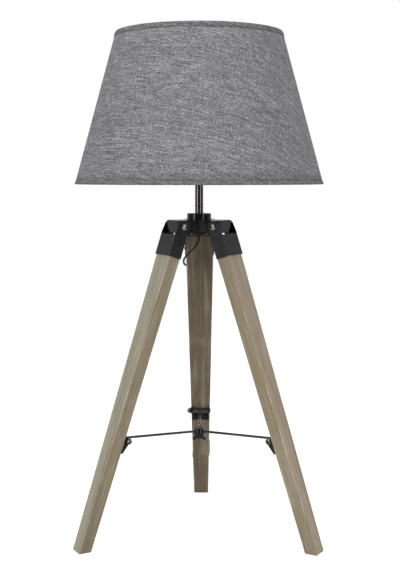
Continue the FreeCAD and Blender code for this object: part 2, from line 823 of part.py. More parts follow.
def build_wing_nut():
    top = (
        f"({CLAMP_HEIGHT} - Sizes.stay_rod_diameter / 2"
        " - Sizes.flat_washer_height - Sizes.running_gap)"
    )
    low = f"({top} - Sizes.wing_nut_height)"
    hub = "Sizes.wing_nut_diameter / 2"
    body = turned(
        "wing_nut",
        [
            ("0", low),
            (f"{hub} - Sizes.boss_edge / 2", low),
            (hub, top),
            ("0", top),
        ],
    )
    tip = f"({top} - Sizes.wing_drop)"
    for way in ("", "-"):
        outline = [
            (f"{way}Sizes.wing_nut_diameter / 4", top),
            (f"{way}Sizes.wing_nut_diameter / 2", top),
            (f"{way}Sizes.wing_reach", f"{tip} + Sizes.wing_thickness"),
            (f"{way}(Sizes.wing_reach - Sizes.wing_thickness / 2)", tip),
            (f"{way}(Sizes.wing_reach - 2 * Sizes.wing_thickness)", tip),
            (f"{way}Sizes.wing_nut_diameter / 4", low),
        ]
        grow(body, "Pad", draw_outline(body, "XZ_Plane", outline), "Sizes.wing_thickness")
    thread = draw_circles(
        body,
        "XY_Plane",
        [("0", "0")],
        "Sizes.clamp_bolt_diameter + Sizes.running_gap",
        offset=f"{top} + Sizes.wing_drop",
    )
    grow(body, "Pocket", thread, "4 * Sizes.wing_drop", side="One side")
    keep("wing_nut", body)


# ---------------------------------------------------------------- lamp holder and bulb


def build_holder():
    base = HOLDER_BASE
    joint = HOLDER_JOINT
    outer = "(Sizes.holder_diameter / 2)"
    inner = f"({outer} - Sizes.holder_wall)"
    pipe = "(Sizes.pipe_diameter / 2)"
    cap = turned(
        "holder_cap",
        [
            (pipe, base),
            (f"{pipe} + 2 * Sizes.holder_wall", base),
            (outer, f"{joint} - 3 * Sizes.holder_wall"),
            (outer, joint),
            (inner, joint),
            (inner, f"{joint} - 2 * Sizes.holder_wall"),
            (f"{pipe} + Sizes.holder_wall", f"{base} + Sizes.holder_wall"),
            (pipe, f"{base} + Sizes.holder_wall"),
        ],
    )
    keep("holder_cap", cap)

    top = f"({joint} + Sizes.holder_body_height)"
    flange_low = f"({joint} + Sizes.holder_flange_rise)"
    flange_high = f"({flange_low} + Sizes.holder_flange_height)"
    flange = "(Sizes.holder_flange_diameter / 2)"
    shell = turned(
        "holder_body",
        [
            (inner, joint),
            (outer, joint),
            (outer, flange_low),
            (flange, flange_low),
            (flange, flange_high),
            (outer, flange_high),
            (outer, top),
            (inner, top),
        ],
    )
    keep("holder_body", shell)

    insert_low = holder_joint
    insert_top = insert_low + size.insert_height
    insert_radius = size.holder_diameter / 2 - size.holder_wall
    insert = Part.makeCylinder(insert_radius, size.insert_height, Vector(0, 0, insert_low))
    made("holder_insert", [insert])

    outside = size.screw_shell_diameter / 2
    inside = outside - size.screw_shell_wall
    screw_shell = Part.makeCylinder(
        outside, size.screw_shell_height, Vector(0, 0, insert_top)
    ).cut(Part.makeCylinder(inside, 2 * size.screw_shell_height, Vector(0, 0, insert_top - 1)))
    tongue = Part.makeBox(
        size.insert_height,
        size.insert_height / 2,
        size.holder_wall,
        Vector(-size.insert_height / 2, -size.insert_height / 4, insert_top),
    )
    made("holder_contacts", [screw_shell, tongue])
    return insert_top + size.holder_wall


def globe(wall, neck_low, top):
    """Outline of the bulb's glass, set in by the wall: neck, flare and ball."""
    ball = size.bulb_diameter / 2 - wall
    centre = top - size.bulb_diameter / 2
    neck = size.bulb_neck_diameter / 2 - wall
    shoulder = math.radians(-14)
    meet = (ball * math.cos(shoulder), centre + ball * math.sin(shoulder))
    flare = ((neck + meet[0]) / 2 - ball * 0.045, (neck_low + meet[1]) / 2)
    crown = (ball * math.cos(math.pi / 4), centre + ball * math.sin(math.pi / 4))
    return lathe(
        (0, neck_low),
        [(neck, neck_low), (flare, meet), (crown, (0, centre + ball))],
    )


def build_bulb(tongue_top):
    low = tongue_top + size.running_gap
    tip_height = size.holder_wall
    cap_low = low + tip_height
    cap_radius = size.bulb_cap_diameter / 2
    cap = lathe(
        (0, low),
        [
            (cap_radius / 3, low),
            (cap_radius / 3, cap_low),
            (cap_radius, cap_low + tip_height),
            (cap_radius, cap_low + size.bulb_cap_height),
            (0, cap_low + size.bulb_cap_height),
        ],
    )
    made("bulb_cap", [cap])
    neck_low = cap_low + size.bulb_cap_height
    top = neck_low + size.bulb_height
    glass = globe(0, neck_low, top).cut(globe(size.glass_wall, neck_low, top))
    made("bulb_glass", [glass])


# ---------------------------------------------------------------- shade


SHADE_TOP = f"({SHADE_LOW} + Sizes.shade_height)"
SHADE_TAPER = (
    "((Sizes.shade_bottom_diameter - Sizes.shade_top_diameter) / 2 / Sizes.shade_height)"
)
COVER_IN = "Sizes.hem_wall"
LINER_IN = "(Sizes.hem_wall + Sizes.shade_cover_wall)"
INSIDE = "(Sizes.hem_wall + Sizes.shade_cover_wall + Sizes.shade_liner_wall)"


def shade_radius(height, inset):
    """Expression of the shade's radius at a height, set in by the layers outside it."""
    return (
        f"(Sizes.shade_bottom_diameter / 2 - ({height} - {SHADE_LOW})"
        f" * {SHADE_TAPER} - {inset})"
    )


def shade_layer(name, low, high, outer, inner):
    return turned(
        name,
        [
            (shade_radius(low, outer), low),
            (shade_radius(high, outer), high),
            (shade_radius(high, inner), high),
            (shade_radius(low, inner), low),
        ],
    )


def build_shade():
    """Fabric cover on a plastic liner, hemmed over two wire rings, on a three-arm fitting."""
    bottom = SHADE_LOW
    keep("shade_cover", shade_layer("shade_cover", bottom, SHADE_TOP, COVER_IN, LINER_IN))
    keep("shade_liner", shade_layer("shade_liner", bottom, SHADE_TOP, LINER_IN, INSIDE))
    top_hem = shade_layer(
        "top_hem", f"({SHADE_TOP} - Sizes.top_hem_height)", SHADE_TOP, "0", COVER_IN
    )
    bottom_hem = shade_layer(
        "bottom_hem", bottom, f"({bottom} + Sizes.bottom_hem_height)", "0", COVER_IN
    )
    hems = doc.addObject("Part::Compound", "shade_hems")
    hems.Links = [top_hem, bottom_hem]
    keep("shade_hems", hems)

    wire = size.shade_wire_diameter
    inset = size.hem_wall + size.shade_cover_wall + size.shade_liner_wall + wire / 2
    taper = (size.shade_bottom_diameter - size.shade_top_diameter) / 2 / size.shade_height
    shade_top = shade_low + size.shade_height
    low = shade_low + wire / 2
    high = shade_top - wire / 2
    low_radius = size.shade_bottom_diameter / 2 - inset - wire * taper - size.running_gap
    high_radius = size.shade_top_diameter / 2 - inset + wire / 2 * taper - size.running_gap
    top_ring = doc.addObject("Part::Torus", "shade_top_ring")
    top_ring.Radius1 = high_radius
    top_ring.setExpression("Radius2", "Sizes.shade_wire_diameter / 2")
    top_ring.Placement = at(z=high)
    keep("shade_top_ring", top_ring)

    ring = doc.addObject("Part::Torus", "bottom_ring")
    ring.Radius1 = low_radius
    ring.setExpression("Radius2", "Sizes.shade_wire_diameter / 2")
    ring.Placement = at(z=low)
    seat = shade_seat
    washer = cylinder(
        "fitting_washer",
        "Sizes.shade_fitting_diameter / 2",
        "Sizes.shade_fitting_wall",
        at(z=seat),
    )
    hole = cylinder(
        "fitting_hole",
        "Sizes.holder_diameter / 2 + Sizes.running_gap",
        "3 * Sizes.shade_fitting_wall",
        at(z=seat - size.shade_fitting_wall),
    )
    inner_end = size.shade_fitting_diameter / 2 - wire / 2
    arm_high = seat + size.shade_fitting_wall / 2
    arms = []
    for k in range(3):
        frame = radial_frame(30 + 120 * k)
        run = Vector(low_radius - inner_end, 0, low - arm_high)
        start = frame.multiply(at(inner_end, 0, arm_high, Rotation(Z_AXIS, run)))
        arms.append(
            cylinder(f"shade_arm_{k}", "Sizes.shade_wire_diameter / 2", f"{run.Length}", start)
        )
    fitting = fused("shade_fitting", arms + [ring, washer])
    keep("shade_frame", cut("shade_frame", fitting, [hole]))

    ring_low = seat + size.shade_fitting_wall + size.running_gap
    bore = size.holder_diameter / 2 + size.running_gap
    rim = size.shade_ring_diameter / 2
    collar = lathe(
        (bore, ring_low),
        [
            (rim, ring_low),
            (rim, ring_low + size.holder_wall),
            (bore + size.holder_wall, ring_low + size.holder_wall),
            (bore + size.holder_wall, ring_low + size.shade_ring_height),
            (bore, ring_low + size.shade_ring_height),
        ],
    )
    made("shade_ring", [collar])


# ---------------------------------------------------------------- lead


def back_of_leg(x, z, away):
    """A point behind the rear leg's outer face, that far from it."""
    face = foot_radius - z * math.tan(splay) + half_thickness / math.cos(splay)
    return (x, face + away / math.cos(splay), z)


SWITCH_START = 182.0
SWITCH_X = -1.2
PLUG_FACE = 268.0
PLUG_X = -0.8
HANK_START = 342.0
HANK_X = -2.4
HANK_Z = size.tie_wall + size.running_gap + cord_radius
# The lead's route, point by point: out of the bush, in front of the rear leg and round
# its left edge, down its back to the switch, past the plug to the hank, and back.
UPPER_ROUTE = [
    (0.0, 0.0, 365.7),
    (-1.0, 1.7, 360.7),
    (-3.0, 4.9, 356.8),
    (-7.4, 12.2, 351.2),
    (-12.6, 20.0, 346.0),
    (-20.0, 28.0, 338.5),
    (-22.4, 40.0, 334.0),
    (-22.7, 48.5, 331.0),
    (-22.6, 56.4, 328.4),
    (-18.8, 63.1, 326.4),
    (-12.2, 67.0, 325.5),
]
JUNCTION = (-8.0, 67.0, 325.5)
LOWER_ROUTE = [
    (-4.4, 67.0, 325.5),
    (1.6, 67.2, 322.7),
    (5.8, 67.6, 317.7),
    (7.9, 68.5, 310.0),
    (7.6, 73.0, 294.0),
    back_of_leg(3.6, 264.0, 2.6),
    back_of_leg(-1.2, 226.0, 2.3),
    back_of_leg(-3.0, 184.0, 2.2),
    back_of_leg(-1.6, 140.0, 2.3),
    back_of_leg(1.2, 98.0, 2.2),
    back_of_leg(0.6, 60.0, 2.3),
    back_of_leg(-0.8, 34.0, 2.4),
    (-1.2, 163.6, 20.4),
    (-1.2, 172.0, 13.0),
]
MIDDLE_ROUTE = [
    (-1.2, 241.0, 13.0),
    (-4.8, 249.5, 11.3),
    (-10.3, 257.5, 6.9),
    (-12.5, 268.0, 3.3),
    (-12.8, 283.0, 2.0),
    (-12.6, 303.0, 1.7),
    (-14.0, 321.0, 1.9),
    (-15.65, 332.0, 2.35),
]
TAIL_ROUTE = [
    (9.2, 347.0, 11.35),
    (8.4, 340.5, 13.6),
    (4.4, 333.5, 16.4),
    (0.8, 328.2, 17.6),
    (-0.8, 323.5, 17.65),
]


def arc_route(points):
    """Edges of straight runs joined by tangent arcs as large as the runs allow."""
    points = [Vector(*p) for p in points]
    last = len(points) - 2
    shared, whole = 0.47, 0.94  # how much of a run an arc may take
    edges = []
    radii = []
    here = points[0]
    for k in range(1, last + 1):
        before, corner, after = points[k - 1 : k + 2]
        incoming = (corner - before).normalize()
        outgoing = (after - corner).normalize()
        turn = incoming.getAngle(outgoing)
        back = min(
            (whole if k == 1 else shared) * (corner - before).Length,
            (whole if k == last else shared) * (after - corner).Length,
        )
        radius = back / math.tan(turn / 2)
        radii.append(radius)
        start = corner - incoming * back
        end = corner + outgoing * back
        inward = (outgoing - incoming).normalize()
        middle = corner + inward * (radius / math.cos(turn / 2) - radius)
        edges.append(Part.makeLine(here, start))
        edges.append(Part.Arc(start, middle, end).toShape())
        here = end
    edges.append(Part.makeLine(here, points[-1]))
    return edges, radii


def tube(edges):
    """A round tube of the lead's diameter along connected edges."""
    wire = Part.Wire(edges)
    start = edges[0].valueAt(edges[0].FirstParameter)
    heading = edges[0].tangentAt(edges[0].FirstParameter)
    ring = Part.Wire([Part.Circle(start, heading, cord_radius).toShape()])
    solid = wire.makePipeShell([ring], True, False)
    expected = math.pi * cord_radius**2 * wire.Length
    if abs(solid.Volume / expected - 1) > 0.01:
        raise RuntimeError(f"the lead's volume is {solid.Volume / expected:.3f} of its length")
    return solid


def lead_tube(name, points):
    edges, radii = arc_route(points)
    solid = tube(edges)
    made(name, [solid])
    length = sum(edge.Length for edge in edges)
    print(f"{name}: {length:.1f} mm long, tightest radius {min(radii):.1f} mm")
    return length


def side_step(start, end, heading):
    """Two equal arcs from start to end that leave and arrive along heading."""
    edges = []
    middle = (start + end) * 0.5
    for a, b, along in ((start, middle, heading), (end, middle, heading * -1)):
        chord = b - a
        reach = chord.Length
        unit = chord / reach
        bulge = along - unit * along.dot(unit)
        if bulge.Length < 1e-9:
            edges.append(Part.makeLine(a, b))
            continue
        angle = along.getAngle(unit)
        top = a + chord * 0.5 + bulge.normalize() * (reach / 2 * math.tan(angle / 2))
        edges.append(Part.Arc(a, top, b).toShape())
    last = edges[1]
    reverse = [last.valueAt(last.LastParameter), last.valueAt(last.FirstParameter)]
    if last.Curve.TypeId == "Part::GeomLine":
        edges[1] = Part.makeLine(*reverse)
    else:
        mid = last.valueAt((last.FirstParameter + last.LastParameter) / 2)
        edges[1] = Part.Arc(reverse[0], mid, reverse[1]).toShape()
    return edges


def hank_runs():
    """Sideways place and layer of each run: the loops spiral in and out, and climb a
    layer along the outermost and innermost runs."""
    step = 1.65
    innermost = 6.65
    runs = []
    layer = 0
    for k in range(16):
        rank = abs((k + 4) % 8 - 4)
        offset = innermost + step * (4 - rank)
        climbs = k > 0 and rank in (0, 4)
        runs.append((k % 2, offset, layer, layer + 1 if climbs else layer))
        layer = runs[-1][3]
    return runs


def build_hank():
    """The lead's put-away length as one tube in tied loops, drawn in at the waist."""
    edges = []
    near = HANK_START
    far = HANK_START + size.hank_run
    here = None
    for index, (right, offset, low, high) in enumerate(hank_runs()):
        x = HANK_X + (offset if right else -offset)
        waist_x = HANK_X + (offset if right else -offset) * size.hank_waist
        ends = (far, near) if right else (near, far)
        stop = near + 10.0 if index == 15 else ends[1]
        heading = Y_AXIS * (-1 if right else 1)
        z_low = HANK_Z + low * size.hank_layer
        z_high = HANK_Z + high * size.hank_layer
        start = Vector(x, ends[0], z_low)
        middle = Vector(waist_x, (near + far) / 2, (z_low + z_high) / 2)
        end = Vector(x, stop, z_high)
        if here is not None:
            bulge = Y_AXIS * (1 if right else -1)
            radius = abs(start.x - here.x) / 2
            centre = (start + here) * 0.5
            top = centre + bulge * radius
            for a, b in ((here, top), (top, start)):
                half_way = (a + b) * 0.5 - centre
                edges.append(Part.Arc(a, centre + half_way.normalize() * radius, b).toShape())
        edges += side_step(start, middle, heading)
        edges += side_step(middle, end, heading)
        here = end
    solid = tube(edges)
    made("cord_hank", [solid])
    length = sum(edge.Length for edge in edges)
    print(f"cord_hank: {length:.1f} mm long, least gap to itself {hank_gap(edges):.2f} mm")
    return length


def hank_gap(edges):
    """The least gap between parts of the hank that aren't neighbours, on points."""
    spacing = 1.0
    points = []
    for edge in edges:
        count = max(2, int(edge.Length / spacing))
        first, last = edge.FirstParameter, edge.LastParameter
        points += [edge.valueAt(first + (last - first) * k / count) for k in range(count)]
    least = 1e9
    apart = int(6 * size.cord_diameter / spacing)
    for k, point in enumerate(points):
        for other in points[k + apart :]:
            least = min(least, (point - other).Length)
    return least - size.cord_diameter


def build_tie():
    """Flat tie round the hank's waist, lying on the floor."""
    runs = hank_runs()
    left = max(offset for right, offset, _, _ in runs if not right)
    right_side = max(offset for right, offset, _, _ in runs if right)
    reach = cord_radius + size.running_gap
    x0 = HANK_X - left * size.hank_waist - reach
    x1 = HANK_X + right_side * size.hank_waist + reach
    z0 = size.tie_wall
    z1 = HANK_Z + 3 * size.hank_layer + reach
    y0 = HANK_START + size.hank_run / 2 - size.tie_width / 2
    wall = size.tie_wall
    outer = Part.makeBox(x1 - x0 + 2 * wall, size.tie_width, z1 - z0 + 2 * wall)
    outer.translate(Vector(x0 - wall, y0, 0))
    inner = Part.makeBox(x1 - x0, 3 * size.tie_width, z1 - z0)
    inner.translate(Vector(x0, y0 - size.tie_width, z0))
    band = outer.cut(inner)
    rims = [e for e in band.Edges if abs(e.BoundBox.YLength - size.tie_width) < 0.01]
    outside = [
        e
        for e in rims
        if e.CenterOfMass.z < wall / 2 or e.CenterOfMass.z > z1 + wall / 2
    ]
    made("cord_tie", [band.makeFillet(wall, outside)])


def build_lead(bush_face):
    exit_point = (0.0, 0.0, bush_face)
    switch_face = (SWITCH_X, SWITCH_START, size.switch_width / 2)
    switch_back = (SWITCH_X, SWITCH_START + size.switch_length, size.switch_width / 2)
    hank_start = (HANK_X - 13.25, HANK_START, HANK_Z)
    hank_end = (HANK_X + 11.6, HANK_START + 10.0, HANK_Z + 3 * size.hank_layer)
    plug_tail = (
        PLUG_X,
        PLUG_FACE + size.plug_length + size.plug_relief_length,
        size.plug_width / 2,
    )
    total = lead_tube("cord_upper", [exit_point] + UPPER_ROUTE + [JUNCTION])
    total += lead_tube("cord_lower", [JUNCTION] + LOWER_ROUTE + [switch_face])
    total += lead_tube("cord_middle", [switch_back] + MIDDLE_ROUTE + [hank_start])
    total += build_hank()
    total += lead_tube("cord_tail", [hank_end] + TAIL_ROUTE + [plug_tail])
    build_tie()
    print(f"lead: {total + size.switch_length:.0f} mm from bush to plug")


def build_switch():
    """In-line switch lying on its edge: two half shells and a rocker between them."""
    middle_y = SWITCH_START + size.switch_length / 2
    middle_z = size.switch_width / 2
    half = "(Sizes.switch_depth / 2)"
    long = "(Sizes.switch_length / 2)"
    wide = "(Sizes.switch_width / 2)"
    wall = "Sizes.switch_wall"
    for name, way in (("switch_back_shell", "-"), ("switch_front_shell", "")):
        body = new_body(name, at(SWITCH_X, middle_y, middle_z))
        outline = draw_outline(
            body, "YZ_Plane", rectangle(f"-{long}", long, f"-{wide}", wide)
        )
        pad = grow(body, "Pad", outline, half, side="One side", reverse=way == "-")
        rim = size.switch_depth / 2
        side = -1 if way == "-" else 1
        edges = [
            f"Edge{k}"
            for k, edge in enumerate(pad.Shape.Edges, start=1)
            if edge.BoundBox.XLength > rim - 0.01 or side * edge.CenterOfMass.x > rim - 0.01
        ]
        rounded = body.newObject("PartDesign::Fillet", "Edges")
        rounded.Base = (pad, edges)
        rounded.setExpression("Radius", "Sizes.switch_edge")
        hollow = draw_outline(
            body,
            "YZ_Plane",
            rectangle(
                f"-({long} - 2 * {wall})",
                f"{long} - 2 * {wall}",
                f"-({wide} - 2 * {wall})",
                f"{wide} - 2 * {wall}",
            ),
        )
        depth = f"{half} - {wall}"
        grow(body, "Pocket", hollow, depth, side="One side", reverse=way == "")
        if way == "":
            window = draw_outline(
                body,
                "YZ_Plane",
                rectangle(
                    "-(Sizes.rocker_length / 2 + Sizes.rocker_gap)",
                    "Sizes.rocker_length / 2 + Sizes.rocker_gap",
                    "-(Sizes.rocker_width / 2 + Sizes.rocker_gap)",
                    "Sizes.rocker_width / 2 + Sizes.rocker_gap",
                ),
            )
            grow(body, "Pocket", window, "Sizes.switch_depth", side="One side", reverse=True)
        keep(name, body)

    rocker = new_body("switch_rocker", at(SWITCH_X, middle_y, middle_z))
    tip = "(Sizes.rocker_length / 2)"
    face = draw_outline(
        rocker,
        "XY_Plane",
        [
            (f"{half} - 2.2 * {wall}", f"-{tip}"),
            (f"{half} + {wall}", f"-{tip} + Sizes.rocker_gap"),
            (f"{half} + Sizes.rocker_gap", "0"),
            (f"{half} + {wall}", f"{tip} - Sizes.rocker_gap"),
            (f"{half} - 2.2 * {wall}", tip),
        ],
    )
    grow(rocker, "Pad", face, "Sizes.rocker_width")
    keep("switch_rocker", rocker)


def build_plug():
    """Flat two-pin plug standing on its edge, with a tapered strain relief."""
    tail = PLUG_FACE + size.plug_length
    body = new_body("plug_shell", at(PLUG_X, PLUG_FACE, size.plug_width / 2))
    wide = "(Sizes.plug_width / 2)"
    narrow = "(Sizes.plug_tail_width / 2)"
    long = "Sizes.plug_length"
    shape = draw_outline(
        body,
        "YZ_Plane",
        [
            ("0", f"-{wide}"),
            (f"{long} / 2", f"-{wide}"),
            (long, f"-{narrow}"),
            (long, narrow),
            (f"{long} / 2", wide),
            ("0", wide),
        ],
    )
    pad = grow(body, "Pad", shape, "Sizes.plug_depth")
    side_face = size.plug_depth / 2
    edges = [
        f"Edge{k}"
        for k, edge in enumerate(pad.Shape.Edges, start=1)
        if abs(edge.CenterOfMass.x) > side_face - 0.01 and edge.BoundBox.YLength > 0.01
    ]
    rounded = body.newObject("PartDesign::Fillet", "Edges")
    rounded.Base = (pad, edges)
    rounded.setExpression("Radius", "Sizes.switch_edge")
    relief = doc.addObject("Part::Cone", "relief")
    relief.setExpression("Radius1", "Sizes.plug_tail_width / 3")
    relief.setExpression("Radius2", "Sizes.cord_diameter / 2 + Sizes.switch_wall / 2")
    relief.setExpression("Height", "Sizes.plug_relief_length")
    relief.Placement = at(PLUG_X, tail, size.plug_width / 2, ALONG_Y)
    keep("plug_body", fused("plug_body", [body, relief]))

    pin = lathe(
        (0, 0),
        [
            (size.plug_pin_diameter / 2, 0),
            (size.plug_pin_diameter / 2, size.plug_pin_length - 1),
            (size.plug_pin_diameter / 2 - 1, size.plug_pin_length),
            (0, size.plug_pin_length),
        ],
    )
    pins = []
    for way in (-1, 1):
        height = size.plug_width / 2 + way * size.plug_pin_spacing / 2
        pins.append(moved(pin, at(PLUG_X, PLUG_FACE, height, Rotation(X_AXIS, 90))))
    made("plug_pins", pins)


# ---------------------------------------------------------------- assembly and export


def main():
    build_legs()
    build_hub()
    build_collar()
    build_pivot_hardware()
    bush_face = build_pipe()
    build_clamp()
    tongue_top = build_holder()
    build_bulb(tongue_top)
    build_shade()
    build_lead(bush_face)
    build_switch()
    build_plug()
    doc.recompute()
    check_and_export()


def check_and_export():
    for item in doc.Objects:
        if {"Invalid", "Error"} & set(item.State):
            raise RuntimeError(f"{item.Label} failed: {item.State}")
    for name, piece in nodes.items():
        shape = piece.Shape
        if shape.isNull() or not shape.isValid() or not shape.Solids:
            raise RuntimeError(f"{name} has no valid solid")
    os.makedirs("parts", exist_ok=True)
    for name, piece in nodes.items():
        piece.Shape.exportStep(f"parts/{name}.step")
    print(f"{len(nodes)} parts written")


main()
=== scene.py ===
"""Tripod table lamp: fabric, lead, finishes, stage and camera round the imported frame."""

import math

import bmesh
import bpy
from bpy.props import FloatProperty, FloatVectorProperty, IntProperty, PointerProperty
from mathutils import Euler, Matrix, Vector


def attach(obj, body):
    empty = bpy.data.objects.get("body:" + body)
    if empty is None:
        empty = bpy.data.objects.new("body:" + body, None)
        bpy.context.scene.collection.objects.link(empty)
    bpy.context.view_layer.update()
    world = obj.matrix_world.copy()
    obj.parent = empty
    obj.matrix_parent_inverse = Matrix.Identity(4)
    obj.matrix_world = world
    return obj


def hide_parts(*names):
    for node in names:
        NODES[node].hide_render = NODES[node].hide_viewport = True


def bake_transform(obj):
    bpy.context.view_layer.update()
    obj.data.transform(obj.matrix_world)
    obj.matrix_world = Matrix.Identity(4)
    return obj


bl_info = {
    "name": "Tripod Table Lamp",
    "version": (1, 0, 0),
    "blender": (4, 5, 0),
    "location": "3D View > Sidebar > Lamp",
    "description": "Builds the shade, lead, finishes and studio of a tripod table lamp",
    "category": "Object",
}

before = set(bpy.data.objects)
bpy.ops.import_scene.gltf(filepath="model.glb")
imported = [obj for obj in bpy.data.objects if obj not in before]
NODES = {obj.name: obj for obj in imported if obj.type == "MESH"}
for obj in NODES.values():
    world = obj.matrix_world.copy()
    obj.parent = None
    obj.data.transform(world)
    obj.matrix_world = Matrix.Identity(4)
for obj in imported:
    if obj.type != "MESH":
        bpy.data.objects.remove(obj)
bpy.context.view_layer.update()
MM = 0.001
SIDES = ("left", "right", "rear")
LEG_ANGLE = {"left": 210.0, "right": 330.0, "rear": 90.0}

# The frame's sizes that the pieces here sit on, in millimetres and degrees.
PIVOT_HEIGHT = 380.0
LEG_SPLAY = 18.59
LEG_FOOT_RADIUS = 158.2
LEG_THICKNESS = 15.3
LEG_FOOT_WIDTH = 18.8
LEG_TOP_WIDTH = 34.0
SLEEVE_BOTTOM = 37.9
SHADE_BOTTOM = 430.5
SHADE_HEIGHT = 179.5
SHADE_BOTTOM_RADIUS = 150.0
SHADE_TOP_RADIUS = 100.0
HEM_WALL = 0.6
COVER_WALL = 0.8
TOP_WIRE_INSET = 3.2
SHADE_TAPER = (SHADE_BOTTOM_RADIUS - SHADE_TOP_RADIUS) / SHADE_HEIGHT
SHADE_SLOPE = math.atan(SHADE_TAPER)

# The stage, in metres, watts and radians, with the lens and sensor in millimetres. The
# strips are upright and bright, and hidden from the camera: each an angle and a glow.
LIGHTS = (
    ("key", (-1.7, -1.8, 1.6), 0.9, 32.0),
    ("fill", (1.6, -1.9, 1.5), 0.9, 28.0),
    ("top", (0.2, 0.3, 2.4), 1.8, 24.0),
)
LIGHT_AIM = (0.0, 0.0, 0.35)
STRIPS = ((-0.84, 10.0), (0.73, 6.0))
STRIP_FADE = (0.10, 0.04)
FLOOR_GLOW = 0.9
FLOOR_SEEN_GREY = 0.2
FLOOR_LIT_GREY = 0.48
CAMERA_LENS = 65.86
CAMERA_SENSOR = 36.0
CAMERA_PLACE = (0.0228, -1.2612, 0.4404)
CAMERA_TILT = math.radians(90 - 5.925)
CAMERA_TURN = math.radians(0.988)


def srgb(level, tint=(0, 0, 0)):
    """Linear colour of an sRGB grey level, 0 to 255, with an offset for each channel."""
    colour = []
    for offset in tint:
        share = (level + offset) / 255
        low = share <= 0.04045
        colour.append(share / 12.92 if low else ((share + 0.055) / 1.055) ** 2.4)
    return colour


# Greys of the handling marks on dark pieces, on the shade's lining and on the lead.
MARKS_GREY = srgb(120)
LINING_MARKS_GREY = srgb(160)
LEAD_MARKS_GREY = srgb(90)


def tone(name, description, level, tint=(0, 0, 0)):
    """A colour property, from an sRGB grey level and an offset for each channel."""
    return FloatVectorProperty(
        name=name,
        description=description,
        subtype="COLOR",
        size=3,
        min=0.0,
        max=1.0,
        default=srgb(level, tint),
    )


def distance(name, description, millimetres):
    """A length property."""
    return FloatProperty(
        name=name,
        description=description,
        unit="LENGTH",
        default=millimetres * MM,
    )


class LampSizes(bpy.types.PropertyGroup):
    """Sizes of the lamp's soft pieces and surface patterns."""

    thread_pitch: distance("Thread pitch", "Spacing of the shade's threads", 0.8)
    slub_length: distance("Slub length", "How far a thick or pale thread runs", 16.0)
    top_hem: distance("Top hem", "Depth of the band round the shade's top", 6.0)
    bottom_hem: distance("Bottom hem", "Depth of the turned lower edge", 4.0)
    grain_width: distance("Grain width", "Spacing of the wood's grain lines", 2.6)
    grain_length: distance("Grain length", "How far a grain line runs", 60.0)
    edge_wear: distance("Edge wear", "Width of the worn strip on a leg's corners", 1.1)
    cord_diameter: distance("Lead diameter", "Outside diameter of the round lead", 2.5)
    cord_length: distance("Lead length", "Length of the lead from hub to plug", 1900.0)
    floor_reach: distance("Floor reach", "Half the width of the studio floor", 3200.0)
    cloth_turn: FloatProperty(
        name="Cloth turn",
        description="Turn of the weave against the middle of the front",
        subtype="ANGLE",
        default=math.radians(12.0),
    )
    shade_facets: IntProperty(
        name="Shade facets", description="Faces round the shade", default=192, min=24
    )


class LampColours(bpy.types.PropertyGroup):
    """Colours of the lamp's finishes, with painted shade in some of the legs' colours."""

    # Each leg's main colour is its face as seen: the outer faces of the left and right legs, and
    # the inner face of the rear leg, which is darkened with painted shade.
    wood_left: tone("Left leg", "Main colour of the left leg", 131, (4, 0, -17))
    wood_right: tone("Right leg", "Main colour of the right leg", 130, (13, -1, -18))
    wood_rear: tone("Rear leg", "Main colour of the rear leg", 88, (13, 0, -17))
    # Painted shade: this darker colour goes on the left and right legs' side faces; it also
    # colours warm streaks in the grain.
    wood_side: tone(
        "Leg sides", "Colour of the legs' sides and of warm streaks", 113, (11, 0, -21)
    )
    wood_dark: tone("Grain", "Colour of the darker grain and stain", 72, (9, -2, -18))
    wood_pale: tone("Worn wood", "Colour of the worn corners", 172, (3, 0, -16))
    cloth: tone("Shade cloth", "Main colour of the shade's fabric", 101, (0, -1, 2))
    cloth_dark: tone("Dark threads", "Colour of the shade's dark threads", 44, (0, 0, 2))
    cloth_pale: tone("Pale threads", "Colour of the shade's pale threads", 168, (0, 0, 3))
    hem: tone("Hem", "Colour of the shade's hems", 84, (0, -1, 2))
    liner: tone("Shade lining", "Colour of the plastic inside the shade", 226, (0, 0, -3))
    black_paint: tone("Black paint", "Colour of the sleeves and brackets", 9, (0, 0, 1))
    cast_black: tone("Cast hub", "Colour of the hub and its collar", 5, (0, 0, 0))
    nickel: tone("Black nickel", "Colour of the pipe, stays and acorn nuts", 92, (3, 0, -5))
    screw_metal: tone("Screws", "Colour of the screws", 158, (4, 0, -12))
    plastic: tone("Plastic", "Colour of the holder, switch and plug", 26, (0, 0, 0))
    rubber: tone("Lead", "Colour of the lead", 10, (0, 0, 0))
    brass: tone("Brass", "Colour of the holder's contacts and the bulb's cap", 170, (20, 0, -60))
    plug_metal: tone("Plug pins", "Colour of the plug's pins", 180, (10, 0, -30))
    wire: tone("Shade wires", "Colour of the wires inside the shade", 215)
    glass: tone("Bulb glass", "Colour of the bulb's opal glass", 235, (0, 0, -4))


# ---------------------------------------------------------------- node tree helpers


def add_node(tree, kind, attributes=None, **values):
    """A node of that kind; attributes set its options, and values its inputs."""
    node = tree.nodes.new(kind)
    for name, value in (attributes or {}).items():
        setattr(node, name, value)
    for name, value in values.items():
        key = int(name[1:]) if name[0] == "i" and name[1:].isdigit() else name.replace("_", " ")
        socket = node.inputs[key]
        if isinstance(value, bpy.types.NodeSocket):
            tree.links.new(value, socket)
        elif isinstance(value, (tuple, list)) and socket.type == "RGBA" and len(value) == 3:
            socket.default_value = (*value, 1.0)
        else:
            socket.default_value = value
    return node


def maths(tree, operation, a, b=0.0, clamp=False):
    options = {"operation": operation, "use_clamp": clamp}
    return add_node(tree, "ShaderNodeMath", options, i0=a, i1=b).outputs[0]


def vector_maths(tree, operation, a, b=(0.0, 0.0, 0.0)):
    return add_node(tree, "ShaderNodeVectorMath", {"operation": operation}, i0=a, i1=b).outputs[0]


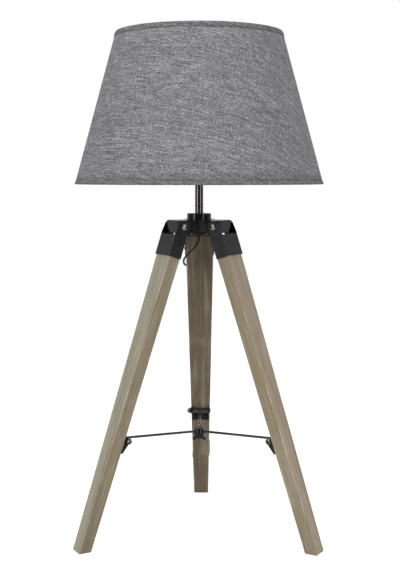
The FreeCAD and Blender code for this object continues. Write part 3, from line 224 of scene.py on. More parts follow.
def noise(tree, vector, scale, detail=2.0, roughness=0.5):
    node = add_node(
        tree,
        "ShaderNodeTexNoise",
        Vector=vector,
        Scale=scale,
        Detail=detail,
        Roughness=roughness,
    )
    return node.outputs["Fac"]


def spread(tree, value, low, high, to_low=0.0, to_high=1.0):
    """The value carried smoothly from low..high to to_low..to_high."""
    node = add_node(
        tree,
        "ShaderNodeMapRange",
        {"interpolation_type": "SMOOTHSTEP"},
        Value=value,
        From_Min=low,
        From_Max=high,
        To_Min=to_low,
        To_Max=to_high,
    )
    return node.outputs["Result"]


def mixed(tree, factor, a, b):
    node = add_node(tree, "ShaderNodeMix", {"data_type": "RGBA"})
    for index, value in ((0, factor), (6, a), (7, b)):
        if isinstance(value, bpy.types.NodeSocket):
            tree.links.new(value, node.inputs[index])
        elif index:
            node.inputs[index].default_value = (*value, 1.0)
        else:
            node.inputs[index].default_value = value
    return node.outputs[2]


def new_group(name, inputs, outputs):
    """An empty node group with named sockets; returns it, its inputs and its output node."""
    group = bpy.data.node_groups.new(name, "ShaderNodeTree")
    for label, kind, default in inputs:
        socket = group.interface.new_socket(label, in_out="INPUT", socket_type=kind)
        if default is not None:
            socket.default_value = default
    for label, kind in outputs:
        group.interface.new_socket(label, in_out="OUTPUT", socket_type=kind)
    entry = group.nodes.new("NodeGroupInput")
    leave = group.nodes.new("NodeGroupOutput")
    return group, entry.outputs, leave


def use_group(tree, group, **values):
    return add_node(tree, "ShaderNodeGroup", {"node_tree": group}, **values)


FLOAT = "NodeSocketFloat"
COLOUR = "NodeSocketColor"
VECTOR = "NodeSocketVector"


def build_grain():
    """Weathered wood: grain lines and stains along Z, with pale worn corners; the Side colour is
    painted shade on the side faces and also colours warm streaks.
    """
    group, inputs, leave = new_group(
        "Weathered grain",
        [
            ("Vector", VECTOR, None),
            ("Main", COLOUR, None),
            ("Side", COLOUR, None),
            ("Dark", COLOUR, None),
            ("Pale", COLOUR, None),
            ("Line Width", FLOAT, 0.003),
            ("Line Length", FLOAT, 0.06),
            ("Wear Width", FLOAT, 0.001),
            ("Half Thickness", FLOAT, 0.0),
            ("Half Width", FLOAT, 0.0),
            ("Taper", FLOAT, 0.0),
            ("Taper Start", FLOAT, 0.0),
        ],
        [("Color", COLOUR), ("Roughness", FLOAT), ("Height", FLOAT)],
    )
    tree = group
    place = inputs["Vector"]
    squeeze = add_node(tree, "ShaderNodeCombineXYZ", X=1.0, Y=1.0)
    ratio = maths(tree, "DIVIDE", inputs["Line Width"], inputs["Line Length"])
    tree.links.new(ratio, squeeze.inputs["Z"])
    along = vector_maths(tree, "MULTIPLY", place, squeeze.outputs[0])
    drift = noise(tree, place, 9.0, 1.0)
    drift = maths(tree, "MULTIPLY", drift, 0.012)
    bent = vector_maths(tree, "ADD", along, drift)
    per_metre = maths(tree, "DIVIDE", 1.0, inputs["Line Width"])
    lines = noise(tree, bent, per_metre, 3.0, 0.6)
    fine = noise(tree, bent, maths(tree, "MULTIPLY", per_metre, 3.6), 2.0, 0.5)
    stains = noise(tree, along, maths(tree, "MULTIPLY", per_metre, 0.16), 3.0, 0.55)
    clouds = noise(tree, place, 26.0, 3.0, 0.6)

    axes = add_node(tree, "ShaderNodeSeparateXYZ", Vector=place).outputs
    below = maths(tree, "MAXIMUM", maths(tree, "SUBTRACT", inputs["Taper Start"], axes["Z"]))
    narrowed = maths(tree, "MULTIPLY", below, inputs["Taper"])
    reach = maths(tree, "SUBTRACT", inputs["Half Width"], narrowed)
    side = maths(tree, "SUBTRACT", reach, maths(tree, "ABSOLUTE", axes["Y"]))
    face = maths(tree, "SUBTRACT", inputs["Half Thickness"], maths(tree, "ABSOLUTE", axes["X"]))
    # Painted shade: the side faces take the Side colour, which the warm streaks share.
    side_shade_mask = spread(tree, maths(tree, "SUBTRACT", side, face), 0.0006, -0.0006)

    warm = noise(tree, along, maths(tree, "MULTIPLY", per_metre, 0.24), 2.0, 0.5)
    warm = spread(tree, warm, 0.42, 0.70, 0.0, 0.6)
    colour = mixed(tree, maths(tree, "MAXIMUM", side_shade_mask, warm), inputs["Main"], inputs["Side"])
    streaks = noise(tree, along, maths(tree, "MULTIPLY", per_metre, 0.5), 3.0, 0.6)
    colour = mixed(tree, spread(tree, lines, 0.50, 0.78, 0.0, 0.36), colour, inputs["Dark"])
    colour = mixed(tree, spread(tree, fine, 0.52, 0.80, 0.0, 0.34), colour, inputs["Dark"])
    colour = mixed(tree, spread(tree, stains, 0.48, 0.74, 0.0, 0.36), colour, inputs["Dark"])
    colour = mixed(tree, spread(tree, streaks, 0.50, 0.74, 0.0, 0.26), colour, inputs["Dark"])
    colour = mixed(tree, spread(tree, streaks, 0.48, 0.28, 0.0, 0.22), colour, inputs["Pale"])
    colour = mixed(tree, spread(tree, clouds, 0.52, 0.76, 0.0, 0.14), colour, inputs["Pale"])
    colour = mixed(tree, spread(tree, lines, 0.48, 0.26, 0.0, 0.22), colour, inputs["Pale"])

    corner = maths(tree, "MAXIMUM", side, face)
    ragged = spread(tree, clouds, 0.35, 0.7, 0.2, 1.6)
    ragged = maths(tree, "MULTIPLY", ragged, inputs["Wear Width"])
    worn = spread(tree, maths(tree, "DIVIDE", corner, ragged), 1.4, 0.4, 0.0, 0.34)
    colour = mixed(tree, worn, colour, inputs["Pale"])
    rough = spread(tree, fine, 0.3, 0.8, 0.62, 0.86)
    height = maths(tree, "ADD", maths(tree, "MULTIPLY", fine, 0.6), lines)
    for socket, value in (("Color", colour), ("Roughness", rough), ("Height", height)):
        tree.links.new(value, leave.inputs[socket])
    return group


def build_weave():
    """Plain weave of heathered threads in the plane of the cloth, from its UV map."""
    group, inputs, leave = new_group(
        "Heathered weave",
        [
            ("Vector", VECTOR, None),
            ("Main", COLOUR, None),
            ("Dark", COLOUR, None),
            ("Pale", COLOUR, None),
            ("Pitch", FLOAT, 0.001),
            ("Slub", FLOAT, 0.02),
            ("Contrast", FLOAT, 1.0),
        ],
        [("Color", COLOUR), ("Height", FLOAT)],
    )
    tree = group
    cells = add_node(tree, "ShaderNodeSeparateXYZ", Vector=inputs["Vector"]).outputs
    across = maths(tree, "DIVIDE", cells["X"], inputs["Pitch"])
    up = maths(tree, "DIVIDE", cells["Y"], inputs["Pitch"])
    shrink = maths(tree, "DIVIDE", inputs["Pitch"], inputs["Slub"])

    def threads(run, step, offset):
        """Brightness of threads that run one way: each has its own shade and slubs."""
        row = add_node(
            tree,
            "ShaderNodeCombineXYZ",
            X=maths(tree, "MULTIPLY", run, shrink),
            Y=step,
            Z=offset,
        ).outputs[0]
        long = noise(tree, row, 1.0, 2.0, 0.6)
        short = add_node(
            tree,
            "ShaderNodeCombineXYZ",
            X=maths(tree, "MULTIPLY", run, 0.42),
            Y=step,
            Z=offset,
        ).outputs[0]
        return maths(tree, "ADD", long, noise(tree, short, 1.0, 1.0, 0.5))

    weft = threads(across, up, 3.7)
    warp = threads(up, across, 8.1)
    total = maths(
        tree, "ADD", maths(tree, "MULTIPLY", weft, 0.34), maths(tree, "MULTIPLY", warp, 0.16)
    )
    level = maths(tree, "MULTIPLY", maths(tree, "SUBTRACT", total, 0.5), inputs["Contrast"])
    paler = maths(tree, "MULTIPLY", level, 6.0, clamp=True)
    darker = maths(tree, "MULTIPLY", level, -6.0, clamp=True)
    colour = mixed(tree, paler, inputs["Main"], inputs["Pale"])
    colour = mixed(tree, darker, colour, inputs["Dark"])
    wave_a = maths(tree, "SINE", maths(tree, "MULTIPLY", across, 2 * math.pi))
    wave_b = maths(tree, "SINE", maths(tree, "MULTIPLY", up, 2 * math.pi))
    height = maths(tree, "ADD", maths(tree, "MULTIPLY", wave_a, wave_b), total)
    for socket, value in (("Color", colour), ("Height", height)):
        tree.links.new(value, leave.inputs[socket])
    return group


def build_scuffs():
    """Fine handling marks on paint, metal and plastic: colour, roughness and height."""
    group, inputs, leave = new_group(
        "Handling marks",
        [
            ("Vector", VECTOR, None),
            ("Main", COLOUR, None),
            ("Pale", COLOUR, None),
            ("Marks", FLOAT, 0.3),
            ("Roughness", FLOAT, 0.4),
        ],
        [("Color", COLOUR), ("Roughness", FLOAT), ("Height", FLOAT)],
    )
    tree = group
    place = inputs["Vector"]
    spots = noise(tree, place, 380.0, 3.0, 0.65)
    broad = noise(tree, place, 60.0, 2.0, 0.5)
    amount = maths(tree, "MULTIPLY", spread(tree, spots, 0.55, 0.8), inputs["Marks"])
    colour = mixed(tree, amount, inputs["Main"], inputs["Pale"])
    change = maths(tree, "MULTIPLY", maths(tree, "SUBTRACT", broad, 0.5), 0.3)
    rough = maths(tree, "ADD", inputs["Roughness"], change)
    rough = maths(tree, "ADD", rough, maths(tree, "MULTIPLY", amount, 0.3), clamp=True)
    for socket, value in (("Color", colour), ("Roughness", rough), ("Height", spots)):
        tree.links.new(value, leave.inputs[socket])
    return group


# ---------------------------------------------------------------- materials


def new_material(name, **values):
    """A material with a Principled BSDF; values are its plain sockets."""
    material = bpy.data.materials.new(name)
    material.use_nodes = True
    tree = material.node_tree
    shader = tree.nodes["Principled BSDF"]
    for key, value in values.items():
        shader.inputs[key.replace("_", " ")].default_value = value
    return material, tree, shader


def add_bump(tree, shader, height, strength, depth):
    bump = add_node(tree, "ShaderNodeBump", Strength=strength, Distance=depth, Height=height)
    tree.links.new(bump.outputs["Normal"], shader.inputs["Normal"])


def leg_local(side):
    """The transform from the lamp's frame to a leg's own, with Z up along the leg."""
    splay = math.radians(LEG_SPLAY)
    pivot = (LEG_FOOT_RADIUS - PIVOT_HEIGHT * math.tan(splay)) * MM
    turn = Matrix.Rotation(math.radians(LEG_ANGLE[side]), 4, "Z")
    place = turn @ Matrix.Translation((pivot, 0, PIVOT_HEIGHT * MM))
    return (place @ Matrix.Rotation(-splay, 4, "Y")).inverted()


def wood_material(side, main, sizes, colours):
    """Weathered wood of one leg, with painted shade on its sides; the rear leg's sides share its
    main colour, which is itself darkened with painted shade.
    """
    material, tree, shader = new_material(f"Weathered wood {side}", Specular_IOR_Level=0.3)
    local = leg_local(side)
    place = add_node(
        tree,
        "ShaderNodeMapping",
        Vector=add_node(tree, "ShaderNodeTexCoord").outputs["Object"],
        Location=local.translation,
        Rotation=local.to_euler(),
    )
    blank = PIVOT_HEIGHT / math.cos(math.radians(LEG_SPLAY)) + LEG_THICKNESS - SLEEVE_BOTTOM
    grain = use_group(
        tree,
        bpy.data.node_groups["Weathered grain"],
        Vector=place.outputs[0],
        Main=list(main),
        Side=list(main if side == "rear" else colours.wood_side),
        Dark=list(colours.wood_dark),
        Pale=list(colours.wood_pale),
        Line_Width=sizes.grain_width,
        Line_Length=sizes.grain_length,
        Wear_Width=sizes.edge_wear,
        Half_Thickness=LEG_THICKNESS / 2 * MM,
        Half_Width=LEG_TOP_WIDTH / 2 * MM,
        Taper=(LEG_TOP_WIDTH - LEG_FOOT_WIDTH) / 2 / blank,
        Taper_Start=-SLEEVE_BOTTOM * MM,
    )
    tree.links.new(grain.outputs["Color"], shader.inputs["Base Color"])
    tree.links.new(grain.outputs["Roughness"], shader.inputs["Roughness"])
    add_bump(tree, shader, grain.outputs["Height"], 0.35, 0.0004)
    return material


def cloth_material(name, main, sizes, colours, contrast):
    """Heathered cloth, woven on the piece's own UV map."""
    material, tree, shader = new_material(name, Roughness=0.9, Specular_IOR_Level=0.2)
    weave = use_group(
        tree,
        bpy.data.node_groups["Heathered weave"],
        Vector=add_node(tree, "ShaderNodeUVMap", {"uv_map": "Cloth"}).outputs[0],
        Main=list(main),
        Dark=list(colours.cloth_dark),
        Pale=list(colours.cloth_pale),
        Pitch=sizes.thread_pitch,
        Slub=sizes.slub_length,
        Contrast=contrast,
    )
    tree.links.new(weave.outputs["Color"], shader.inputs["Base Color"])
    add_bump(tree, shader, weave.outputs["Height"], 0.3, 0.0003)
    return material


def hard_material(name, main, pale, marks, roughness, bump=0.1, **values):
    """Paint, metal or plastic with handling marks."""
    material, tree, shader = new_material(name, **values)
    scuffs = use_group(
        tree,
        bpy.data.node_groups["Handling marks"],
        Vector=add_node(tree, "ShaderNodeTexCoord").outputs["Object"],
        Main=list(main),
        Pale=list(pale),
        Marks=marks,
        Roughness=roughness,
    )
    tree.links.new(scuffs.outputs["Color"], shader.inputs["Base Color"])
    tree.links.new(scuffs.outputs["Roughness"], shader.inputs["Roughness"])
    add_bump(tree, shader, scuffs.outputs["Height"], bump, 0.0001)
    return material


def finish_node(name, material):
    """Gives a frame piece its material."""
    piece = NODES[name]
    piece.data.materials.clear()
    piece.data.materials.append(material)


# ---------------------------------------------------------------- mesh helpers


def add_piece(name, mesh, material, body=None):
    piece = bpy.data.objects.new(name, mesh)
    bpy.context.scene.collection.objects.link(piece)
    mesh.materials.clear()
    mesh.materials.append(material)
    if body:
        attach(piece, body)
    return piece


def spin_profile(name, profile, facets, closed):
    """A mesh turned about Z from (radius, height) points in millimetres."""
    shape = bmesh.new()
    points = [shape.verts.new((radius * MM, 0, height * MM)) for radius, height in profile]
    edges = [shape.edges.new(pair) for pair in zip(points, points[1:])]
    if closed:
        edges.append(shape.edges.new((points[-1], points[0])))
    bmesh.ops.spin(
        shape,
        geom=points + edges,
        cent=(0, 0, 0),
        axis=(0, 0, 1),
        angle=2 * math.pi,
        steps=facets,
        use_merge=True,
    )
    bmesh.ops.remove_doubles(shape, verts=shape.verts, dist=1e-6)
    bmesh.ops.recalc_face_normals(shape, faces=shape.faces)
    for face in shape.faces:
        face.smooth = True
    mesh = bpy.data.meshes.new(name)
    shape.to_mesh(mesh)
    shape.free()
    return mesh


def shade_radius(height, inset=0.0):
    """Radius of the shade's cone at a height, less an inset, in millimetres."""
    return SHADE_BOTTOM_RADIUS - (height - SHADE_BOTTOM) * SHADE_TAPER - inset


def unroll_cone(mesh, turn):
    """Gives the mesh a UV map in metres: the shade's cone laid flat, turned by an angle."""
    apex = (SHADE_BOTTOM + SHADE_BOTTOM_RADIUS / SHADE_TAPER) * MM
    layer = mesh.uv_layers.new(name="Cloth")
    for face in mesh.polygons:
        middle = math.atan2(face.center.x, -face.center.y)
        for index in face.loop_indices:
            spot = mesh.vertices[mesh.loops[index].vertex_index].co
            angle = math.atan2(spot.x, -spot.y)
            angle -= 2 * math.pi * round((angle - middle) / (2 * math.pi))
            reach = (apex - spot.z) / math.cos(SHADE_SLOPE)
            flat = angle * math.sin(SHADE_SLOPE) + turn
            layer.data[index].uv = (reach * math.sin(flat), -reach * math.cos(flat))


# ---------------------------------------------------------------- operators


class LampOperator(bpy.types.Operator):
    """One step of building the lamp."""

    bl_options = {"REGISTER", "UNDO"}

    @property
    def sizes(self):
        return bpy.context.scene.lamp_sizes

    @property
    def colours(self):
        return bpy.context.scene.lamp_colours


class LAMP_OT_patterns(LampOperator):
    """Builds the node groups of the lamp's grain, weave and handling marks"""

    bl_idname = "lamp.patterns"
    bl_label = "Surface Patterns"

    def execute(self, context):
        build_grain()
        build_weave()
        build_scuffs()
        return {"FINISHED"}


class LAMP_OT_legs(LampOperator):
    """Finishes the three wooden legs"""

    bl_idname = "lamp.legs"
    bl_label = "Wooden Legs"

    def execute(self, context):
        for side in SIDES:
            # The rear leg's main colour carries painted shade.
            main = getattr(self.colours, f"wood_{side}")
            finish_node(f"leg_{side}", wood_material(side, main, self.sizes, self.colours))
        return {"FINISHED"}


class LAMP_OT_metalwork(LampOperator):
    """Finishes the hub, sleeves, brackets, stays, pipe and fasteners"""

    bl_idname = "lamp.metalwork"
    bl_label = "Metalwork"

    def execute(self, context):
        colours = self.colours
        paint = hard_material(
            "Black paint",
            colours.black_paint,
            MARKS_GREY,
            marks=0.03,
            roughness=0.34,
            Specular_IOR_Level=0.3,
        )
        cast = hard_material(
            "Cast black",
            colours.cast_black,
            MARKS_GREY,
            marks=0.02,
            roughness=0.22,
            bump=0.2,
            Specular_IOR_Level=0.35,
        )
        nickel = hard_material(
            "Black nickel",
            colours.nickel,
            MARKS_GREY,
            marks=0.03,
            roughness=0.13,
            bump=0.002,
            Metallic=1.0,
        )
        screw = hard_material(
            "Screw metal",
            colours.screw_metal,
            MARKS_GREY,
            marks=0.2,
            roughness=0.16,
            Metallic=1.0,
        )
        for side in SIDES:
            finish_node(f"sleeve_{side}", paint)
            finish_node(f"bracket_{side}", paint)
            finish_node(f"sleeve_screws_{side}", paint)
            finish_node(f"bracket_screws_{side}", paint)
            for name in ("stay", "stay_bolt", "stay_nut"):
                finish_node(f"{name}_{side}", nickel)
        for name in ("hub_casting", "hub_collar", "wing_nut", "clamp_washers"):
            finish_node(name, cast)
        for name in ("lamp_pipe", "pipe_nut", "clamp_bolt", "clamp_dome_nut", "pivot_nuts"):
            finish_node(name, nickel)
        finish_node("pivot_screws", screw)
        return {"FINISHED"}


class LAMP_OT_holder(LampOperator):
    """Finishes the lamp holder and the bulb"""

    bl_idname = "lamp.holder"
    bl_label = "Holder and Bulb"

    def execute(self, context):
        colours = self.colours
        plastic = hard_material(
            "Black plastic", colours.plastic, MARKS_GREY, marks=0.15, roughness=0.38
        )
        brass = hard_material(
            "Holder brass", colours.brass, MARKS_GREY, marks=0.3, roughness=0.3, Metallic=1.0
        )
        for name in ("holder_cap", "holder_body", "holder_insert", "shade_ring", "cord_bush"):
            finish_node(name, plastic)
        for name in ("holder_contacts", "bulb_cap"):
            finish_node(name, brass)
        glass = new_material(
            "Opal glass",
            Base_Color=(*colours.glass, 1.0),
            Roughness=0.3,
            Subsurface_Weight=0.2,
        )[0]
        finish_node("bulb_glass", glass)
        return {"FINISHED"}


class LAMP_OT_shade(LampOperator):
    """Builds the shade's cloth and hems, and finishes its lining and wires"""

    bl_idname = "lamp.shade"
    bl_label = "Shade"

    def execute(self, context):
        self.build_cloth()
        self.build_hems()
        colours = self.colours
        lining = hard_material(
            "Shade lining", colours.liner, LINING_MARKS_GREY, marks=0.05, roughness=0.5
        )
        wire = hard_material(
            "White wire", colours.wire, LINING_MARKS_GREY, marks=0.1, roughness=0.4
        )
        finish_node("shade_liner", lining)
        for name in ("shade_frame", "shade_top_ring"):
            finish_node(name, wire)
        return {"FINISHED"}

    def build_cloth(self):
        rows = 12
        heights = [SHADE_BOTTOM + SHADE_HEIGHT * k / rows for k in range(rows + 1)]
        outer = [(shade_radius(z, HEM_WALL), z) for z in heights]
        inner = [(shade_radius(z, HEM_WALL + COVER_WALL), z) for z in reversed(heights)]
        mesh = spin_profile("shade_cloth", outer + inner, self.sizes.shade_facets, True)
        unroll_cone(mesh, self.sizes.cloth_turn)
        cloth = cloth_material("Shade cloth", self.colours.cloth, self.sizes, self.colours, 1.05)
        piece = add_piece("shade_cloth", mesh, cloth, "shade")
        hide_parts("shade_cover")

    def build_hems(self):
        sizes = self.sizes
        top = SHADE_BOTTOM + SHADE_HEIGHT
        hem = sizes.top_hem / MM
        wire_middle = SHADE_TOP_RADIUS - TOP_WIRE_INSET
        band = [
            (shade_radius(top - hem, 0.15), top - hem),
            (shade_radius(top - hem + 0.5, 0.0), top - hem + 0.5),
            (shade_radius(top - 2.0, -0.1), top - 2.0),
            (shade_radius(top - 0.8, 0.1), top - 0.8),
            (shade_radius(top, 0.8), top - 0.15),
            (wire_middle, top),
            (wire_middle - 1.5, top - 0.7),
            (wire_middle - 1.8, top - 2.0),
            (wire_middle - 1.0, top - 3.3),
            (shade_radius(top - 4.2, 2.3), top - 4.2),
            (shade_radius(top - hem, 2.1), top - hem),
            (shade_radius(top - hem, HEM_WALL), top - hem),
        ]
        low = SHADE_BOTTOM
        fold = sizes.bottom_hem / MM
        edge = [
            (shade_radius(low + fold, 0.55), low + fold),
            (shade_radius(low + fold - 0.4, 0.25), low + fold - 0.4),
            (shade_radius(low + 1.0, 0.1), low + 1.0),
            (shade_radius(low, 0.5), low + 0.1),
            (shade_radius(low, 1.6), low),
            (shade_radius(low, 2.6), low + 0.3),
            (shade_radius(low + fold, 2.4), low + fold),
        ]
        for name, profile in (("shade_top_hem", band), ("shade_bottom_hem", edge)):
            mesh = spin_profile(name, profile, sizes.shade_facets, True)
            unroll_cone(mesh, sizes.cloth_turn)
            cloth = cloth_material(f"Cloth of {name}", self.colours.hem, sizes, self.colours, 0.8)
            piece = add_piece(name, mesh, cloth, "shade")
            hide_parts("shade_hems")


# The lead's route, point by point in millimetres: out of the bush, in front of the rear
# leg and round its left edge, down its back to the switch, past the plug to the hank.
LEAD_ROUTE = [
    (0.0, 0.0, 368.5),
    (0.0, 0.0, 365.7),
    (-1.0, 1.7, 360.7),
    (-3.0, 4.9, 356.8),
    (-7.4, 12.2, 351.2),
    (-12.6, 20.0, 346.0),
    (-19.2, 28.6, 338.0),
    (-20.4, 40.0, 333.4),
    (-20.2, 48.0, 330.4),
    (-19.3, 55.8, 327.9),
    (-15.9, 62.6, 326.1),
    (-10.2, 66.6, 325.4),
    (-3.6, 67.0, 325.3),
    (1.6, 67.2, 322.7),
    (5.8, 67.6, 317.7),
    (7.9, 68.5, 310.0),
    (7.6, 73.0, 294.0),
]
DOWN_THE_LEG = [
    (3.6, 264.0, 2.6),
    (-1.2, 226.0, 2.3),
    (-3.0, 184.0, 2.2),
    (-1.6, 140.0, 2.3),
    (1.2, 98.0, 2.2),
    (0.6, 60.0, 2.3),
    (-0.8, 34.0, 2.4),
]
TO_THE_HANK = [
    (-1.2, 163.6, 20.4),
    (-1.2, 172.0, 13.0),
    (-1.2, 184.0, 13.0),
    (-1.2, 234.0, 13.0),
    (-1.2, 241.0, 13.0),
    (-4.8, 249.5, 11.3),
    (-10.3, 257.5, 6.9),
    (-12.5, 268.0, 3.3),
    (-12.8, 283.0, 2.0),
    (-12.6, 303.0, 1.7),
    (-14.0, 321.0, 1.9),
    (-15.65, 332.0, 2.35),
]
TO_THE_PLUG = [
    (9.2, 347.0, 11.35),
    (8.4, 340.5, 13.6),
    (4.4, 333.5, 16.4),
    (0.8, 328.2, 17.6),
    (-0.8, 323.5, 17.65),
    (-0.8, 319.0, 17.65),
]
HANK_X = -2.4
HANK_START = 342.0
HANK_RUN = 50.0
HANK_FLOOR = 2.35
HANK_LAYER = 3.0
HANK_WAIST = 0.9
HANK_INNERMOST = 6.65
HANK_STEP = 1.65
HANK_RUNS = 16
HANK_RANKS = 4
HANK_LAST_STOP = 16.0
HANK_TURN_STEPS = 6
# The points of one run: whether it is measured from the run's start, how far it lies
# towards the middle, whether it is drawn in there, and how much of the climb is done.
HANK_STOPS = (
    (True, 0.15, False, 0.0),
    (True, 0.8, True, 0.3),
    (False, 0.8, True, 0.7),
    (False, 0.15, False, 1.0),
)


def behind_leg(x, height, away):
    """A point behind the rear leg's outer face, that far from it."""
    splay = math.radians(LEG_SPLAY)
    face = LEG_FOOT_RADIUS - height * math.tan(splay) + LEG_THICKNESS / 2 / math.cos(splay)
    return (x, face + away / math.cos(splay), height)


def hank_points():
    """The put-away loops: runs drawn in at the waist, joined by half turns."""
    points = []
    layer = 0
    middle = HANK_START + HANK_RUN / 2
    before = None
    for index in range(HANK_RUNS):
        right = index % 2
        outwards = 1 if right else -1
        rank = abs((index + HANK_RANKS) % (2 * HANK_RANKS) - HANK_RANKS)
        reach = outwards * (HANK_INNERMOST + HANK_STEP * (HANK_RANKS - rank))
        climbs = index > 0 and rank in (0, HANK_RANKS)
        low = HANK_FLOOR + layer * HANK_LAYER
        layer += 1 if climbs else 0
        high = HANK_FLOOR + layer * HANK_LAYER
        ends = (HANK_START, HANK_START + HANK_RUN)
        if right:
            ends = ends[::-1]
        if before is not None:
            centre = HANK_X + (before + reach) / 2
            radius = abs(before - reach) / 2
            past = outwards * radius / math.cos(math.pi / 2 / HANK_TURN_STEPS)
            for step in range(HANK_TURN_STEPS):
                angle = math.pi * (step + 0.5) / HANK_TURN_STEPS
                across = centre - past * math.cos(angle)
                points.append((across, ends[0] + past * math.sin(angle), low))
        stop = HANK_START + HANK_LAST_STOP if index == HANK_RUNS - 1 else ends[1]
        for near, share, drawn_in, climbed in HANK_STOPS:
            across = HANK_X + reach * (HANK_WAIST if drawn_in else 1.0)
            along = (ends[0] if near else stop) * (1 - share) + middle * share
            points.append((across, along, low + (high - low) * climbed))
        before = reach
    return points


class LAMP_OT_lead(LampOperator):
    """Lays the mains lead from the hub to its switch, its tied hank and the plug"""

    bl_idname = "lamp.lead"
    bl_label = "Mains Lead"

    def execute(self, context):
        route = LEAD_ROUTE + [behind_leg(*spot) for spot in DOWN_THE_LEG]
        route += TO_THE_HANK + hank_points() + TO_THE_PLUG
        line = bpy.data.curves.new("lead_line", "CURVE")
        line.dimensions = "3D"
        line.resolution_u = 6
        spline = line.splines.new("NURBS")
        spline.points.add(len(route) - 1)
        for point, spot in zip(spline.points, route):
            point.co = (*(value * MM for value in spot), 1.0)
        spline.order_u = 3
        spline.use_endpoint_u = True
        shape = bpy.data.objects.new("lead_line", line)
        context.scene.collection.objects.link(shape)
        path = self.mesh_of(shape)
        line.bevel_depth = self.sizes.cord_diameter / 2
        line.bevel_resolution = 2
        line.use_fill_caps = True
        tube = self.mesh_of(shape)
        tube.name = "mains_lead"
        bpy.data.objects.remove(shape)
        for face in tube.polygons:
            face.use_smooth = True
        rubber = hard_material(
            "Lead rubber",
            self.colours.rubber,
            LEAD_MARKS_GREY,
            marks=0.05,
            roughness=0.5,
            Specular_IOR_Level=0.25,
        )
        piece = add_piece("mains_lead", tube, rubber)
        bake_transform(piece)
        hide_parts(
            "cord_upper", "cord_lower", "cord_middle", "cord_hank", "cord_tail"
        )
        finish_node("inner_lead", rubber)
        return {"FINISHED"}

    def mesh_of(self, shape):
        bpy.context.view_layer.update()
        graph = bpy.context.evaluated_depsgraph_get()
        return bpy.data.meshes.new_from_object(shape.evaluated_get(graph))


class LAMP_OT_switch_and_plug(LampOperator):
    """Finishes the in-line switch, the plug and the hank's tie"""

    bl_idname = "lamp.switch_and_plug"
    bl_label = "Switch and Plug"

    def execute(self, context):
        colours = self.colours
        plastic = hard_material(
            "Switch plastic", colours.plastic, MARKS_GREY, marks=0.15, roughness=0.35
        )
        metal = hard_material(
            "Plug metal", colours.plug_metal, MARKS_GREY, marks=0.2, roughness=0.25, Metallic=1.0
        )
        for name in ("switch_back_shell", "switch_front_shell", "switch_rocker", "plug_body"):
            finish_node(name, plastic)
        finish_node("cord_tie", plastic)
        finish_node("plug_pins", metal)
        return {"FINISHED"}


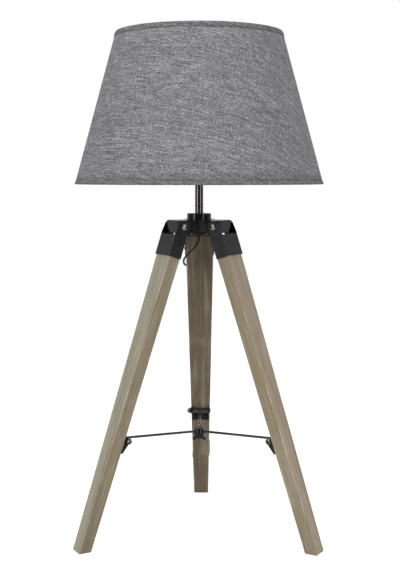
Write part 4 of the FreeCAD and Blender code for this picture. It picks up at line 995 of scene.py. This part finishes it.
class LAMP_OT_studio(LampOperator):
    """Sets the floor, the soft lights and the camera"""

    bl_idname = "lamp.studio"
    bl_label = "Studio"

    def execute(self, context):
        self.build_floor()
        self.build_world()
        for light in LIGHTS:
            self.add_light(*light)
        self.add_camera()
        return {"FINISHED"}

    def build_floor(self):
        shape = bmesh.new()
        bmesh.ops.create_grid(shape, size=self.sizes.floor_reach)
        mesh = bpy.data.meshes.new("floor")
        shape.to_mesh(mesh)
        shape.free()
        material = bpy.data.materials.new("White floor")
        material.use_nodes = True
        tree = material.node_tree
        tree.nodes.clear()
        glow = add_node(tree, "ShaderNodeEmission", Color=(1, 1, 1, 1), Strength=FLOOR_GLOW)
        shadowed = add_node(tree, "ShaderNodeBsdfDiffuse", Color=[FLOOR_SEEN_GREY] * 3)
        seen = add_node(
            tree, "ShaderNodeAddShader", i0=glow.outputs[0], i1=shadowed.outputs[0]
        )
        lit = add_node(tree, "ShaderNodeBsdfDiffuse", Color=[FLOOR_LIT_GREY] * 3)
        blend = add_node(
            tree,
            "ShaderNodeMixShader",
            Fac=self.white_rays(tree),
            i1=lit.outputs[0],
            i2=seen.outputs[0],
        )
        add_node(tree, "ShaderNodeOutputMaterial", Surface=blend.outputs[0])
        mesh.materials.append(material)
        floor = bpy.data.objects.new("floor", mesh)
        bpy.context.scene.collection.objects.link(floor)

    def white_rays(self, tree):
        """One for rays from the camera or through glass, else nought."""
        rays = add_node(tree, "ShaderNodeLightPath").outputs
        return maths(tree, "MAXIMUM", rays["Is Camera Ray"], rays["Is Transmission Ray"])

    def build_world(self):
        """White to the camera; else pale behind and above, dark in front, with two strips."""
        world = bpy.data.worlds.new("Studio")
        bpy.context.scene.world = world
        world.use_nodes = True
        tree = world.node_tree
        tree.nodes.clear()
        seen_from = add_node(tree, "ShaderNodeTexCoord").outputs["Generated"]
        way = add_node(tree, "ShaderNodeSeparateXYZ", Vector=seen_from).outputs
        behind = spread(tree, way["Y"], -0.5, 0.4, 0.1, 0.6)
        above = spread(tree, way["Z"], 0.35, 0.8, 0.0, 0.8)
        room = maths(tree, "MAXIMUM", behind, above)
        turn = maths(tree, "ARCTAN2", way["X"], maths(tree, "MULTIPLY", way["Y"], -1.0))
        for angle, glow in STRIPS:
            away = maths(tree, "ABSOLUTE", maths(tree, "SUBTRACT", turn, angle))
            room = maths(tree, "MAXIMUM", room, spread(tree, away, *STRIP_FADE, 0.0, glow))
        strength = maths(tree, "MAXIMUM", room, self.white_rays(tree))
        sky = add_node(tree, "ShaderNodeBackground", Color=(1, 1, 1, 1), Strength=strength)
        add_node(tree, "ShaderNodeOutputWorld", Surface=sky.outputs[0])

    def add_light(self, name, place, width, watts):
        lamp = bpy.data.lights.new(name, "AREA")
        lamp.size = width
        lamp.energy = watts
        light = bpy.data.objects.new(name, lamp)
        bpy.context.scene.collection.objects.link(light)
        light.location = place
        aim = Vector(LIGHT_AIM) - Vector(place)
        light.rotation_euler = aim.to_track_quat("-Z", "Y").to_euler()

    def add_camera(self):
        lens = bpy.data.cameras.new("camera")
        lens.lens = CAMERA_LENS
        lens.sensor_width = CAMERA_SENSOR
        camera = bpy.data.objects.new("camera", lens)
        bpy.context.scene.collection.objects.link(camera)
        camera.location = CAMERA_PLACE
        camera.rotation_euler = Euler((CAMERA_TILT, 0, CAMERA_TURN), "XYZ")
        bpy.context.scene.camera = camera


class LAMP_PT_panel(bpy.types.Panel):
    """Lists the lamp's sizes, colours and steps"""

    bl_idname = "LAMP_PT_panel"
    bl_label = "Tripod Table Lamp"
    bl_space_type = "VIEW_3D"
    bl_region_type = "UI"
    bl_category = "Lamp"

    def draw(self, context):
        layout = self.layout
        for group in (context.scene.lamp_sizes, context.scene.lamp_colours):
            column = layout.column(align=True)
            for name in group.__annotations__:
                column.prop(group, name)
        for step in STEPS:
            layout.operator(step.bl_idname)


STEPS = (
    LAMP_OT_patterns,
    LAMP_OT_lead,
    LAMP_OT_studio,
    LAMP_OT_shade,
    LAMP_OT_legs,
    LAMP_OT_metalwork,
    LAMP_OT_holder,
    LAMP_OT_switch_and_plug,
)
CLASSES = (LampSizes, LampColours, *STEPS, LAMP_PT_panel)


def register():
    for item in CLASSES:
        bpy.utils.register_class(item)
    bpy.types.Scene.lamp_sizes = PointerProperty(type=LampSizes)
    bpy.types.Scene.lamp_colours = PointerProperty(type=LampColours)


def unregister():
    del bpy.types.Scene.lamp_colours
    del bpy.types.Scene.lamp_sizes
    for item in reversed(CLASSES):
        bpy.utils.unregister_class(item)


def main():
    register()
    bpy.context.scene.view_settings.view_transform = "Standard"
    for step in STEPS:
        group, name = step.bl_idname.split(".")
        getattr(getattr(bpy.ops, group), name)()
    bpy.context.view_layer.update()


if __name__ == "__main__":
    main()
